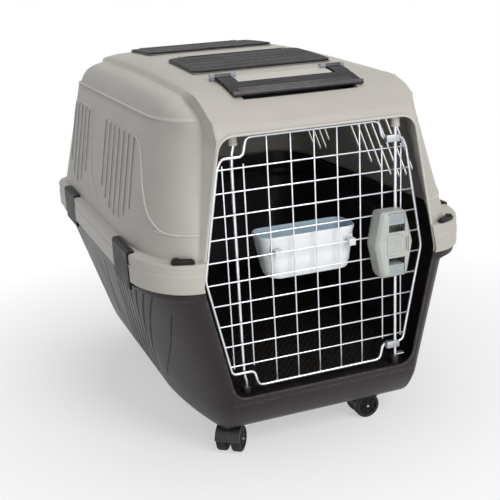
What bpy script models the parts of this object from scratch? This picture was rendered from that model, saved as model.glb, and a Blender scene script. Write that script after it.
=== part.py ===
"""Wheeled pet travel crate: dark tub, light dome, wire door, roof lids, handle, castors.

Metres. X is right, -Y is the door end, Z is up, and the castors stand on Z = 0.
"""
import math

import bmesh
import bpy
from mathutils import Matrix, Vector

for old in list(bpy.data.objects):
    bpy.data.objects.remove(old, do_unlink=True)

# Overall sizes
LENGTH = 0.802
WIDTH = 0.611
WALL = 0.0035
GAP = 0.0003

# Heights
CASTOR_HEIGHT = 0.057
TUB_HEIGHT = 0.324
DOME_HEIGHT = 0.275
SILL_HEIGHT = 0.074
RIM_HEIGHT = 0.049
LEDGE_HEIGHT = 0.2115

# Rim band and walls, measured inward from the outside of the rim
RIM_FLANGE = 0.0150
TONGUE_INSET = 0.0155
TONGUE_DROP = 0.0032
COLLAR_INSET = 0.0055
COLLAR_DEPTH = 0.016
COLLAR_SLANT = 0.004
TUB_INSET = 0.0105
TUB_TAPER = 0.29
DOME_TAPER = 0.26

# How far each plan corner runs along the side, and how square it is
RIM_FRONT_CORNER = 0.144
RIM_REAR_CORNER = 0.080
RIM_FRONT_POWER = 2.0
REAR_POWER = 2.4
TUB_FRONT_CORNER = 0.210
TUB_REAR_CORNER = 0.120
TUB_FRONT_POWER = 1.6
DOME_FRONT_CORNER = 0.200
DOME_REAR_CORNER = 0.080
LEDGE_FRONT_CORNER = 0.130
LEDGE_REAR_CORNER = 0.030
SPINE_CORNER = 0.040

# Door opening
LIP_SETBACK = 0.007
DOOR_SETBACK = 0.032
OPENING_TOP_WIDTH = 0.336
OPENING_MIDDLE_WIDTH = 0.4224
OPENING_BOTTOM_WIDTH = 0.332
OPENING_MIDDLE = 0.041
OPENING_BROW = 0.0205
OPENING_CORNER = 0.026

# Door
WIRE_PITCH = 0.041
WIRE_RADIUS = 0.0014
FRAME_RADIUS = 0.0026
ROD_RADIUS = 0.0028
DOOR_LIFT = 0.008
DOOR_CLEAR = 0.0075
HINGE_X = OPENING_TOP_WIDTH / 2 - 0.031
BOLT_X = OPENING_TOP_WIDTH / 2 - 0.024
BOLT_STANDOFF = 0.0018

# Roof pieces
LID_WIDTH = 0.262
LID_DEPTH = 0.160
LID_THICKNESS = 0.0038
FRONT_LID_SETBACK = 0.231
REAR_LID_SETBACK = 0.510
BIN_DEPTH = 0.036
BIN_WALL = 0.0022
HANDLE_WIDTH = 0.230
HANDLE_DEPTH = 0.088
HANDLE_GRIP = 0.048
HANDLE_ARM = 0.027
HANDLE_THICKNESS = 0.0050
HANDLE_RISE = 0.0018
HANDLE_SETBACK = 0.074
POCKET_DEPTH = 0.026

# Clips and turn-locks
CLIP_LENGTH = 0.104
FRONT_CLIP_Y = -0.233
REAR_CLIP_Y = 0.212
LOCK_RADIUS = 0.0082
LOCK_LENGTH = 0.026

# Side vents
SLOT_WIDTH = 0.008
SLOT_HEIGHT = 0.150
SLOT_RISE = 0.030
SLOT_LEAN = 0.30
SLOT_PITCH = 0.035
SLOT_COUNT = 7
FRONT_VENT_Y = -0.094
REAR_VENT_Y = 0.2325
VENT_DROP = 0.038

# Bowl
BOWL_WIDTH = 0.176
BOWL_DEPTH = 0.070
BOWL_HEIGHT = 0.074
BOWL_WALL = 0.0025

# Castors
WHEEL_RADIUS = 0.024
WHEEL_WIDTH = 0.0185
WHEEL_OFFSET = 0.026
AXLE_RADIUS = 0.0025
CASTOR_X = 0.142
FRONT_CASTOR_Y = -0.302
REAR_CASTOR_Y = 0.250

FRONT = -LENGTH / 2
REAR = LENGTH / 2
SIDE = WIDTH / 2
TUB_BOTTOM = CASTOR_HEIGHT
RIM_TOP = TUB_BOTTOM + TUB_HEIGHT
RIM_BOTTOM = RIM_TOP - RIM_HEIGHT
ROOF_TOP = RIM_TOP + DOME_HEIGHT
LEDGE = RIM_TOP + LEDGE_HEIGHT
SILL = TUB_BOTTOM + SILL_HEIGHT
LIP_Y = FRONT + LIP_SETBACK
DOOR_Y = FRONT + DOOR_SETBACK
OPENING_TOP = LEDGE - OPENING_BROW
OPENING_VERTEX = RIM_TOP - OPENING_MIDDLE

crate = bpy.data.collections.new("pet_crate")
cutters = bpy.data.collections.new("cutters")
bpy.context.scene.collection.children.link(crate)
bpy.context.scene.collection.children.link(cutters)


def material(name, colour, roughness, metallic=0.0):
    made = bpy.data.materials.new(name)
    made.use_nodes = True
    shader = made.node_tree.nodes["Principled BSDF"]
    shader.inputs["Base Color"].default_value = (*colour, 1.0)
    shader.inputs["Roughness"].default_value = roughness
    shader.inputs["Metallic"].default_value = metallic
    return made


LIGHT_GREY = (0.50, 0.47, 0.43)
CHARCOAL = (0.075, 0.066, 0.072)
BLACK = (0.02, 0.019, 0.018)
ZINC = (0.62, 0.64, 0.67)
LATCH_GREY = (0.62, 0.66, 0.63)
BOWL_BLUE = (0.55, 0.68, 0.76)


def place(name, mesh, shade, collection=crate):
    """A new object of one mesh, in its collection."""
    item = bpy.data.objects.new(name, mesh)
    collection.objects.link(item)
    if collection is cutters:
        item.hide_render = True
        item.display_type = "WIRE"
    else:
        mesh.materials.append(shade)
    return item


def smooth(item, angle=35):
    """Smooth shading that keeps edges sharper than the angle."""
    item.data.shade_smooth()
    item.data.set_sharp_from_angle(angle=math.radians(angle))


def pivot(item, point):
    """Moves an object's origin onto its joint without moving its shape."""
    item.data.transform(Matrix.Translation(-Vector(point)))
    item.location = point


def to_mesh(name, bm):
    bmesh.ops.recalc_face_normals(bm, faces=bm.faces)
    mesh = bpy.data.meshes.new(name)
    bm.to_mesh(mesh)
    bm.free()
    return mesh


def box(name, low, high, shade=None, bevel=0.0, collection=crate):
    """A box between two corners, with rounded edges where a bevel is given."""
    bm = bmesh.new()
    bmesh.ops.create_cube(bm, size=1.0)
    size = [b - a for a, b in zip(low, high)]
    middle = [(a + b) / 2 for a, b in zip(low, high)]
    bmesh.ops.scale(bm, vec=size, verts=bm.verts)
    bmesh.ops.translate(bm, vec=middle, verts=bm.verts)
    item = place(name, to_mesh(name, bm), shade, collection)
    if bevel:
        rounding = item.modifiers.new("rounded edges", "BEVEL")
        rounding.width = bevel
        rounding.segments = 2
    return item


def cylinder(name, radius, start, end, shade=None, sides=16, collection=crate, far_radius=None):
    """A round bar between two points, tapered where a far radius is given."""
    start, end = Vector(start), Vector(end)
    run = end - start
    bm = bmesh.new()
    bmesh.ops.create_cone(bm, cap_ends=True, segments=sides, radius1=radius,
                          radius2=far_radius or radius, depth=run.length)
    turn = run.to_track_quat("Z", "Y").to_matrix().to_4x4()
    bmesh.ops.transform(bm, matrix=Matrix.Translation((start + end) / 2) @ turn, verts=bm.verts)
    item = place(name, to_mesh(name, bm), shade, collection)
    if collection is crate:
        smooth(item)
    return item


def bars(name, runs, radius, sides):
    """A cutter of several separate round bars, each between its own two points."""
    bm = bmesh.new()
    for start, end in runs:
        start, end = Vector(start), Vector(end)
        turn = (end - start).to_track_quat("Z", "Y").to_matrix().to_4x4()
        bmesh.ops.create_cone(bm, cap_ends=True, segments=sides, radius1=radius, radius2=radius,
                              depth=(end - start).length,
                              matrix=Matrix.Translation((start + end) / 2) @ turn)
    return place(name, to_mesh(name, bm), None, cutters)


def prism(name, outline, axis, low, high, shade=None, collection=crate):
    """A flat outline, given in the other two axes' order, pushed along one axis."""
    bm = bmesh.new()
    corners = []
    for u, v in outline:
        point = {"X": (low, u, v), "Y": (u, low, v), "Z": (u, v, low)}[axis]
        corners.append(bm.verts.new(point))
    face = bm.faces.new(corners)
    pushed = bmesh.ops.extrude_face_region(bm, geom=[face])
    run = {"X": (high - low, 0, 0), "Y": (0, high - low, 0), "Z": (0, 0, high - low)}[axis]
    moved = [item for item in pushed["geom"] if isinstance(item, bmesh.types.BMVert)]
    bmesh.ops.translate(bm, vec=run, verts=moved)
    return place(name, to_mesh(name, bm), shade, collection)


def rounded(points, radii, steps=4):
    """A closed outline whose corners are arcs of the given radii."""
    outline = []
    count = len(points)
    for i, radius in enumerate(radii):
        here = Vector(points[i])
        before = (Vector(points[i - 1]) - here).normalized()
        after = (Vector(points[(i + 1) % count]) - here).normalized()
        if radius <= 0:
            outline.append(tuple(here))
            continue
        half = before.angle(after) / 2
        middle = here + (before + after).normalized() * radius / math.sin(half)
        first = here + before * radius / math.tan(half)
        last = here + after * radius / math.tan(half)
        start = first - middle
        sweep = start.angle(last - middle)
        side = 1 if start.cross(last - middle) > 0 else -1
        for step in range(steps + 1):
            angle = side * sweep * step / steps
            spun = Matrix.Rotation(angle, 2) @ start
            outline.append(tuple(middle + spun))
    return outline


def rectangle(low_x, low_y, high_x, high_y):
    return [(low_x, low_y), (high_x, low_y), (high_x, high_y), (low_x, high_y)]


def change(item, operation, tool):
    """Cuts or joins one closed tool with an exact Boolean."""
    step = item.modifiers.new(tool.name, "BOOLEAN")
    step.operation = operation
    step.object = tool
    step.solver = "EXACT"


def cut(item, tool):
    change(item, "DIFFERENCE", tool)


def join(item, tool):
    change(item, "UNION", tool)


def wire(name, points, radius, shade=None, closed=False, resolution=2, collection=crate):
    """A round wire along a poly line, made as a bevelled curve and turned into a mesh."""
    curve = bpy.data.curves.new(name, "CURVE")
    curve.dimensions = "3D"
    curve.bevel_depth = radius
    curve.bevel_resolution = resolution
    curve.use_fill_caps = not closed
    run = curve.splines.new("POLY")
    run.points.add(len(points) - 1)
    for knot, point in zip(run.points, points):
        knot.co = (*point, 1.0)
    run.use_cyclic_u = closed
    guide = bpy.data.objects.new(name + "_guide", curve)
    cutters.objects.link(guide)
    bpy.context.view_layer.update()
    evaluated = guide.evaluated_get(bpy.context.evaluated_depsgraph_get())
    mesh = bpy.data.meshes.new_from_object(evaluated)
    bpy.data.objects.remove(guide, do_unlink=True)
    bm = bmesh.new()
    bm.from_mesh(mesh)
    bmesh.ops.remove_doubles(bm, verts=bm.verts, dist=0.00001)
    mesh.materials.clear()
    bpy.data.meshes.remove(mesh)
    item = place(name, to_mesh(name, bm), shade, collection)
    if collection is crate:
        smooth(item)
    return item


def blend(a, b, share):
    return a + (b - a) * share


# Shell outlines
# Each level of a shell is half a ring: it starts at the middle of the front, runs
# round one corner, along the side and round the other corner to the middle of the back.
CORNER_STEPS = 6
SIDE_STEPS = 4


def corner(flat, side, power):
    """Points of a superelliptic corner from a front or back flat to the side."""
    points = []
    for step in range(1, CORNER_STEPS + 1):
        angle = math.pi / 2 * step / CORNER_STEPS
        across = math.sin(angle) ** (2 / power)
        along = 1 - math.cos(angle) ** (2 / power) if step < CORNER_STEPS else 1.0
        points.append((blend(flat[0], side[0], across), blend(flat[1], side[1], along)))
    return points


def half_ring(front_flat, side_x, front_depth, back_flat, back_depth, front_power):
    """Corner, side and corner points between the front flat and the back flat."""
    front = corner(front_flat, (side_x, front_flat[1] + front_depth), front_power)
    back = corner(back_flat, (side_x, back_flat[1] - back_depth), REAR_POWER)
    side = []
    for step in range(1, SIDE_STEPS):
        share = step / SIDE_STEPS
        side.append((side_x, blend(front[-1][1], back[-1][1], share)))
    return [front_flat] + front + side + back[::-1] + [back_flat]


def loft(name, rings, shade, cap_rows=None):
    """Joins half rings of equal length, mirrors them and gives them the wall's thickness."""
    bm = bmesh.new()
    rows = [[bm.verts.new(point) for point in ring] for ring in rings]
    for lower, upper in zip(rows, rows[1:]):
        for i in range(len(lower) - 1):
            bm.faces.new((lower[i], lower[i + 1], upper[i + 1], upper[i]))
    if cap_rows:
        cap_rows(bm, rows[-1])
    bmesh.ops.recalc_face_normals(bm, faces=bm.faces)
    outermost = max(bm.faces, key=lambda face: face.calc_center_median().x)
    if outermost.normal.x < 0:
        bmesh.ops.reverse_faces(bm, faces=bm.faces)
    mesh = bpy.data.meshes.new(name)
    bm.to_mesh(mesh)
    bm.free()
    item = place(name, mesh, shade)
    mirror = item.modifiers.new("both sides", "MIRROR")
    mirror.use_axis = (True, False, False)
    mirror.merge_threshold = 0.0001
    wall = item.modifiers.new("wall", "SOLIDIFY")
    wall.thickness = WALL
    wall.offset = -1.0
    wall.use_even_offset = True
    smooth(item)
    return item


def opening_half_width(height):
    """Half the door opening's width at a height above the floor."""
    if height > OPENING_VERTEX:
        share = (height - OPENING_VERTEX) / (OPENING_TOP - OPENING_VERTEX)
        return blend(OPENING_MIDDLE_WIDTH, OPENING_TOP_WIDTH, min(share, 1.0)) / 2
    share = (OPENING_VERTEX - height) / (OPENING_VERTEX - SILL)
    return blend(OPENING_MIDDLE_WIDTH, OPENING_BOTTOM_WIDTH, min(share, 1.0)) / 2


def opening_cutter(name, low_y, high_y):
    """The six-sided door opening with rounded corners."""
    top, middle, bottom = OPENING_TOP_WIDTH / 2, OPENING_MIDDLE_WIDTH / 2, OPENING_BOTTOM_WIDTH / 2
    points = [(-bottom, SILL), (bottom, SILL), (middle, OPENING_VERTEX),
              (top, OPENING_TOP), (-top, OPENING_TOP), (-middle, OPENING_VERTEX)]
    radii = [OPENING_CORNER, OPENING_CORNER, 0.012, OPENING_CORNER, OPENING_CORNER, 0.012]
    return prism(name, rounded(points, radii), "Y", low_y, high_y, collection=cutters)


def rim_ring(inset, height, front_inset=None):
    """A half ring that follows the outside of the rim at an inset."""
    front_y = FRONT + (inset if front_inset is None else front_inset)
    flat_x = opening_half_width(RIM_TOP) + 0.0095
    middle = [(0.0, front_y), (flat_x / 2, front_y)]
    around = half_ring((flat_x, front_y), SIDE - inset, RIM_FRONT_CORNER,
                       (flat_x, REAR - inset), RIM_REAR_CORNER, RIM_FRONT_POWER)
    back = [(flat_x / 2, REAR - inset), (0.0, REAR - inset)]
    return [(x, y, height) for x, y in middle + around + back]


# Lower shell: an injection-moulded tub whose tongue stands inside the dome's rim.
def tub_side(height):
    """Outside half width of the tub's tapered wall."""
    return SIDE - TUB_INSET - TUB_TAPER * (RIM_BOTTOM - COLLAR_DEPTH - height)


def tub_ring(height, front_y, back_y, side_x, flat_x):
    middle = [(0.0, front_y), (flat_x / 2, front_y)]
    around = half_ring((flat_x, front_y), side_x, TUB_FRONT_CORNER,
                       (flat_x, back_y), TUB_REAR_CORNER, TUB_FRONT_POWER)
    back = [(flat_x / 2, back_y), (0.0, back_y)]
    return [(x, y, height) for x, y in middle + around + back]


TUB_FOOT = [(0.000, 0.0000, 0.000), (0.026, 0.006, 0.0000), (0.051, 0.020, 0.001),
            (0.065, 0.032, 0.006), (0.074, 0.045, 0.015)]
TUB_BACK_TAPER = 0.20


def tub_rings():
    tongue_top = RIM_TOP - WALL - TONGUE_DROP
    collar_top = RIM_BOTTOM + 0.004
    collar_bottom = RIM_BOTTOM - COLLAR_DEPTH
    lip_inset = LIP_SETBACK
    rings = [rim_ring(TONGUE_INSET, tongue_top, lip_inset),
             rim_ring(TONGUE_INSET, collar_top, lip_inset),
             rim_ring(COLLAR_INSET, collar_top, COLLAR_INSET - 0.001),
             rim_ring(COLLAR_INSET, collar_bottom + COLLAR_SLANT, COLLAR_INSET - 0.001)]
    wall_back = REAR - TUB_INSET
    for drop, setback, tuck in [(None, 0.0, 0.0)] + TUB_FOOT:
        height = collar_bottom - COLLAR_SLANT if drop is None else SILL - drop
        side_x = tub_side(height) - tuck
        back_y = wall_back - TUB_BACK_TAPER * (collar_bottom - height) - tuck
        flat_x = opening_half_width(height) + 0.006
        flat_x = min(flat_x, side_x - 0.03)
        rings.append(tub_ring(height, LIP_Y + setback, back_y, side_x, flat_x))
    return rings


def flat_cap(bm, ring):
    """Closes the tub's flat bottom."""
    bm.faces.new(ring)


lower_grey = material("charcoal plastic", CHARCOAL, 0.45)
lower_shell = loft("lower_shell", tub_rings(), lower_grey, flat_cap)
cut(lower_shell, opening_cutter("lower_opening", FRONT - 0.02, LIP_Y + 0.018))
TRAY_THICKNESS = 0.004
TRAY_TOP = SILL - 0.004
SHELF_TOP = TRAY_TOP - TRAY_THICKNESS - GAP
SHELF_THICKNESS = 0.005
sill_shelf = box("sill_shelf", (-0.175, LIP_Y + 0.0035, SHELF_TOP - SHELF_THICKNESS),
                 (0.175, DOOR_Y + 0.026, SHELF_TOP), collection=cutters)
join(lower_shell, sill_shelf)

# Upper shell: a moulded dome with a rim band, a raised roof spine and a deep front hoop.
# Each row of the hoop gives groove, edge and centre points as (setback, height over the ledge).
CROSSING = (0.0, 0.3, 0.6, 0.85, 1.0)
SPINE_EDGE = 0.180
SPINE_GROOVE = 0.0035
SPINE_STEP = 0.007
ROOF_CROWN = 0.0115
FRONT_HOOP = [((0.055, 0.0000), (0.0145, 0.0020), (0.0080, -0.0065)),
              ((0.0565, 0.0020), (0.0205, 0.0055), (0.0165, -0.0005)),
              ((0.066, 0.0120), (0.037, 0.0155), (0.037, 0.0105)),
              ((0.082, 0.0220), (0.0575, 0.0265), (0.0615, 0.0210)),
              ((0.1065, 0.0290), (0.082, 0.0360), (0.090, 0.0305)),
              ((0.135, 0.0315), (0.131, 0.0385), (0.135, 0.0415))]
BACK_HOOP = [((0.049, 0.0000), (0.0445, 0.0030), (0.041, 0.0080)),
             ((0.0505, 0.0020), (0.046, 0.0075), (0.043, 0.0145)),
             ((0.058, 0.0155), (0.053, 0.0225), (0.051, 0.0285)),
             ((0.070, 0.0280), (0.064, 0.0360), (0.063, 0.0405)),
             ((0.090, 0.0370), (0.084, 0.0460), (0.083, 0.0505)),
             ((0.118, 0.0440), (0.114, 0.0510), (0.118, 0.0575))]
SHOULDER_INSETS = [0.0, 0.004, 0.009, 0.017, 0.029]
SHOULDER_FOLLOW = [0.0, 0.0, 0.2, 0.45, 0.75]
ROOF_START = LIP_Y + FRONT_HOOP[-1][2][0]
ROOF_END = REAR - BACK_HOOP[-1][2][0]


def roof_share(y):
    return min(max((y - ROOF_START) / (ROOF_END - ROOF_START), 0.0), 1.0)


def roof_height(y):
    """Height of the roof's middle line."""
    if y < ROOF_START:
        knots = [(LIP_Y + row[2][0], LEDGE + row[2][1]) for row in FRONT_HOOP]
        for (y0, z0), (y1, z1) in zip(knots, knots[1:]):
            if y <= y1:
                return blend(z0, z1, (y - y0) / (y1 - y0))
    share = roof_share(y)
    arch = ROOF_CROWN * max(math.sin(math.pi * share), 0.0) ** 0.8
    return LEDGE + blend(FRONT_HOOP[-1][2][1], BACK_HOOP[-1][2][1], share) + arch


def edge_height(y):
    """Height of the spine's edge, which sits lower than the middle line."""
    share = roof_share(y)
    drop = blend(0.003, 0.0065, share) + 0.007 * max(math.sin(math.pi * share), 0.0) ** 0.8
    return roof_height(y) - drop


def crossing(centre, edge):
    """Points from the middle line to one edge of the hoop."""
    points = []
    for share in CROSSING:
        points.append((edge[0] * share, blend(centre[0], edge[1], share ** 2),
                       blend(centre[1], edge[2], share ** 8)))
    return points


def dome_ring(front, back, side_x, corners, lift):
    """A half ring of the dome, from (centre, edge, groove) points at its two ends."""
    centre, edge, groove = front
    back_centre, back_edge, back_groove = back
    flat = half_ring(groove[:2], side_x, corners[0], back_groove[:2], corners[1], RIM_FRONT_POWER)
    around = []
    for x, y in flat:
        share = (y - groove[1]) / (back_groove[1] - groove[1])
        around.append((x, y, blend(groove[2], back_groove[2], share) + lift(y)))
    return crossing(centre, edge) + around + crossing(back_centre, back_edge)[::-1]


def rim_row(inset, height):
    front_y, back_y = FRONT + inset, REAR - inset
    edge_x = opening_half_width(RIM_TOP) + WALL
    ends = []
    for y in (front_y, back_y):
        ends.append(((y, height), (edge_x, y, height), (edge_x + 0.006, y, height)))
    return dome_ring(*ends, SIDE - inset, (RIM_FRONT_CORNER, RIM_REAR_CORNER), lambda y: 0.0)


def wall_row(height):
    share = (height - RIM_TOP) / LEDGE_HEIGHT
    edge_x = opening_half_width(height) + WALL + 0.001
    groove_x = edge_x + blend(0.0025, SPINE_GROOVE, share)
    front_groove = LIP_Y + blend(0.0065, FRONT_HOOP[0][0][0], share)
    back_groove = REAR - blend(0.0145, BACK_HOOP[0][0][0], share)
    back_y = REAR - blend(0.012, BACK_HOOP[0][1][0], share)
    front = ((LIP_Y, height), (edge_x, LIP_Y, height), (groove_x, front_groove, height))
    back = ((back_y, height), (edge_x, back_y, height), (groove_x, back_groove, height))
    corners = (blend(DOME_FRONT_CORNER, LEDGE_FRONT_CORNER, share),
               blend(DOME_REAR_CORNER, LEDGE_REAR_CORNER, share))
    side_x = SIDE - RIM_FLANGE - DOME_TAPER * (height - RIM_TOP)
    return dome_ring(front, back, side_x, corners, lambda y: 0.0)


def hoop_row(i):
    share = i / (len(FRONT_HOOP) - 1)
    edge_x = blend(opening_half_width(OPENING_TOP) + WALL + 0.003, SPINE_EDGE, share)
    ends = []
    for rows, start, sign in ((FRONT_HOOP, LIP_Y, 1), (BACK_HOOP, REAR, -1)):
        groove, edge, centre = rows[i]
        ends.append(((start + sign * centre[0], LEDGE + centre[1]),
                     (edge_x, start + sign * edge[0], LEDGE + edge[1]),
                     (edge_x + SPINE_GROOVE, start + sign * groove[0], LEDGE + groove[1])))
    if i < len(SHOULDER_INSETS):
        side_x = SIDE - RIM_FLANGE - DOME_TAPER * LEDGE_HEIGHT - SHOULDER_INSETS[i]
        follow = SHOULDER_FOLLOW[i]
    else:
        side_x, follow = edge_x + SPINE_GROOVE, 1.0
    corners = (blend(LEDGE_FRONT_CORNER, SPINE_CORNER, share),
               blend(LEDGE_REAR_CORNER, SPINE_CORNER, share))

    def lift(y):
        line = LEDGE + blend(FRONT_HOOP[-1][0][1], BACK_HOOP[-1][0][1], roof_share(y))
        return follow * (edge_height(y) - SPINE_STEP - line)
    return dome_ring(*ends, side_x, corners, lift)


def roof_cap(bm, ring):
    """Closes the roof with rows that cross the spine from its middle to the groove."""
    reach = len(CROSSING)
    around = ring[reach:-reach]
    previous = ring[:reach]
    for i in range(1, len(around)):
        if i == len(around) - 1:
            row = ring[-reach:][::-1]
        else:
            y = around[i].co.y
            points = crossing((y, roof_height(y)), (SPINE_EDGE, y, edge_height(y)))
            row = [bm.verts.new(point) for point in points]
        for a, b, c, d in zip(previous, previous[1:], row[1:], row):
            bm.faces.new((a, b, c, d))
        bm.faces.new((previous[-1], around[i - 1], around[i], row[-1]))
        previous = row


BROW = OPENING_TOP - 0.006
upper_rings = [rim_row(0.0, RIM_BOTTOM), rim_row(0.0, RIM_TOP - 0.003), rim_row(0.003, RIM_TOP),
               wall_row(RIM_TOP), wall_row(blend(RIM_TOP, BROW, 0.5)), wall_row(BROW)]
upper_rings += [hoop_row(i) for i in range(len(FRONT_HOOP))]
upper_grey = material("light grey plastic", LIGHT_GREY, 0.42)
upper_shell = loft("upper_shell", upper_rings, upper_grey, roof_cap)
cut(upper_shell, opening_cutter("upper_opening", FRONT - 0.02, LIP_Y + 0.018))


def roof_strip(low_y, high_y, rise, thickness, steps=8):
    """Side outline of a strip that follows the roof's middle line at a rise above it."""
    under = []
    for step in range(steps + 1):
        y = blend(low_y, high_y, step / steps)
        under.append((y, roof_height(y) + rise))
    return under + [(y, z + thickness) for y, z in reversed(under)]


def slot_row(name, axis, middle, count, low, high, lean=0.0):
    """Leaning ventilation slots whose feet rise towards both ends of the row."""
    top = LEDGE - VENT_DROP
    for i in range(count):
        place_in_row = 2 * i / (count - 1) - 1
        across = middle + place_in_row * SLOT_PITCH * (count - 1) / 2
        foot = top - SLOT_HEIGHT + SLOT_RISE * place_in_row ** 2
        outline = rounded(rectangle(across - SLOT_WIDTH / 2, foot, across + SLOT_WIDTH / 2, top),
                          [SLOT_WIDTH * 0.45] * 4, 2)
        outline = [(u + lean * (z - top + SLOT_HEIGHT / 2), z) for u, z in outline]
        cut(upper_shell, prism(f"{name}_{i + 1}", outline, axis, low, high, collection=cutters))


slot_row("front_vent", "X", FRONT_VENT_Y, SLOT_COUNT, -SIDE, SIDE, SLOT_LEAN)
slot_row("rear_vent", "X", REAR_VENT_Y, SLOT_COUNT - 2, -SIDE, SIDE, SLOT_LEAN)
slot_row("back_vent", "Y", 0.0, SLOT_COUNT, REAR - 0.06, REAR)

# Door rod sockets hang from the hoop above the opening.
HINGE_Y = DOOR_Y + FRAME_RADIUS + ROD_RADIUS + GAP
BOLT_Y = DOOR_Y - FRAME_RADIUS - ROD_RADIUS - BOLT_STANDOFF
SOCKET_BOTTOM = OPENING_TOP - 0.019
SOCKET_RADIUS = 0.007
ROD_HOLE = ROD_RADIUS + GAP
ROD_TOP = SOCKET_BOTTOM + 0.009
for name, x, y in (("hinge", -HINGE_X, HINGE_Y), ("bolt", BOLT_X, BOLT_Y)):
    socket_top = roof_height(y) - WALL / 2
    join(upper_shell, cylinder(name + "_socket", SOCKET_RADIUS, (x, y, SOCKET_BOTTOM),
                               (x, y, socket_top), sides=16, collection=cutters))
    cut(upper_shell, cylinder(name + "_socket_hole", ROD_HOLE, (x, y, SOCKET_BOTTOM - 0.005),
                              (x, y, ROD_TOP + 0.001), sides=16, collection=cutters))

# Rim notches leave room for the four side clips.
NOTCH_INSET = 0.011
for side in (-1, 1):
    for y in (FRONT_CLIP_Y, REAR_CLIP_Y):
        half = CLIP_LENGTH / 2 + 2 * GAP
        reach = sorted((side * (SIDE - NOTCH_INSET), side * (SIDE + 0.01)))
        cut(upper_shell, box("clip_notch", (reach[0], y - half, RIM_BOTTOM - 0.01),
                             (reach[1], y + half, RIM_TOP + 0.01), collection=cutters))

# Storage bins drop through the roof and hang by a flange that carries the lid's hinge.
BIN_BORDER = 0.012
FLANGE_EDGE = 0.002
FLANGE_THICKNESS = 0.0016
LID_RISE = FLANGE_THICKNESS + 2 * GAP
RIB_HEIGHT = 0.0009
RIB_STEPS = (3, 6, 9, 12)
LID_CORNER = 0.016
BARREL_RADIUS = 0.0027
PIN_RADIUS = 0.0011
BARREL_REACH = 0.098
LUG_WIDTH = 0.010
dark_grey = material("charcoal lid plastic", CHARCOAL, 0.38)
bin_grey = material("grey bin plastic", (0.30, 0.29, 0.28), 0.5)
zinc = material("zinc plated steel", ZINC, 0.3, 1.0)


def storage_bin(name, start_y):
    end_y = start_y + LID_DEPTH
    low_y, high_y = start_y + BIN_BORDER, end_y - BIN_BORDER
    half = LID_WIDTH / 2 - BIN_BORDER
    hole = prism(name + "_hole", rectangle(-half, low_y, half, high_y), "Z",
                 LEDGE, ROOF_TOP + 0.02, collection=cutters)
    cut(upper_shell, hole)
    flange_half = LID_WIDTH / 2 - FLANGE_EDGE
    tray = prism(name, roof_strip(start_y + FLANGE_EDGE, end_y - FLANGE_EDGE, GAP,
                                  FLANGE_THICKNESS), "X", -flange_half, flange_half, bin_grey)
    clear = 2 * GAP
    floor = min(roof_height(low_y), roof_height(high_y)) - BIN_DEPTH
    top = roof_strip(low_y + clear, high_y - clear, GAP, FLANGE_THICKNESS / 2)[9:]
    body = [(low_y + clear, floor), (high_y - clear, floor)] + top
    join(tray, prism(name + "_body", body, "X", -half + clear, half - clear, collection=cutters))
    inside = clear + BIN_WALL
    space = rounded(rectangle(-half + inside, low_y + inside, half - inside, high_y - inside),
                    [0.006] * 4)
    hinge_y = end_y + BARREL_RADIUS / 2
    hinge_z = roof_height(hinge_y) + BARREL_RADIUS + 3 * GAP
    for side in (-1, 1):
        reach = sorted((side * (BARREL_REACH + GAP), side * (BARREL_REACH + GAP + LUG_WIDTH)))
        lug = roof_strip(end_y - 0.005, hinge_y + BARREL_RADIUS, GAP, 2 * BARREL_RADIUS + 0.001, 2)
        join(tray, prism(name + "_lug", lug, "X", *reach, collection=cutters))
    cut(tray, prism(name + "_space", space, "Z", floor + BIN_WALL, ROOF_TOP + 0.02,
                    collection=cutters))
    cut(tray, cylinder(name + "_pin_hole", PIN_RADIUS + GAP, (-0.14, hinge_y, hinge_z),
                       (0.14, hinge_y, hinge_z), sides=12, collection=cutters))
    smooth(tray)
    return hinge_y, hinge_z


def bin_lid(name, start_y, hinge):
    """A curved lid with cross ribs, rounded corners and a hinge barrel at its back edge."""
    hinge_y, hinge_z = hinge
    end_y = start_y + LID_DEPTH
    half = LID_WIDTH / 2
    outline = roof_strip(start_y, end_y, LID_RISE, LID_THICKNESS - RIB_HEIGHT, 16)
    under, over = outline[:17], outline[17:]
    ribbed = []
    for i, (y, z) in enumerate(over):
        if i in RIB_STEPS:
            for offset, rise in ((0.003, 0.0), (0.002, RIB_HEIGHT), (-0.002, RIB_HEIGHT),
                                 (-0.003, 0.0)):
                ribbed.append((y + offset, z + rise))
        else:
            ribbed.append((y, z))
    lid = prism(name, under + ribbed, "X", -half, half, dark_grey)
    corners = rounded(rectangle(-half, start_y, half, end_y), [LID_CORNER] * 4)
    change(lid, "INTERSECT", prism(name + "_corners", corners, "Z", LEDGE, ROOF_TOP + 0.02,
                                   collection=cutters))
    for side in (-1, 1):
        reach = sorted((side * BARREL_REACH, side * (BARREL_REACH + LUG_WIDTH + 2 * GAP)))
        cut(lid, box(name + "_lug_notch", (reach[0], end_y - 0.006, LEDGE),
                     (reach[1], end_y + 0.01, ROOF_TOP + 0.02), collection=cutters))
    cut(lid, box(name + "_finger_notch", (-0.012, start_y - 0.005, LEDGE),
                 (0.012, start_y + 0.004, roof_height(start_y) + LID_RISE + 0.0016),
                 collection=cutters))
    join(lid, cylinder(name + "_barrel", BARREL_RADIUS, (-BARREL_REACH, hinge_y, hinge_z),
                       (BARREL_REACH, hinge_y, hinge_z), sides=12, collection=cutters))
    cut(lid, cylinder(name + "_pin_hole", PIN_RADIUS + GAP, (-0.14, hinge_y, hinge_z),
                      (0.14, hinge_y, hinge_z), sides=12, collection=cutters))
    smooth(lid)
    pivot(lid, (0.0, hinge_y, hinge_z))
    reach = BARREL_REACH + LUG_WIDTH
    cylinder(name + "_pin", PIN_RADIUS, (-reach, hinge_y, hinge_z), (reach, hinge_y, hinge_z),
             zinc, 10)


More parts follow.
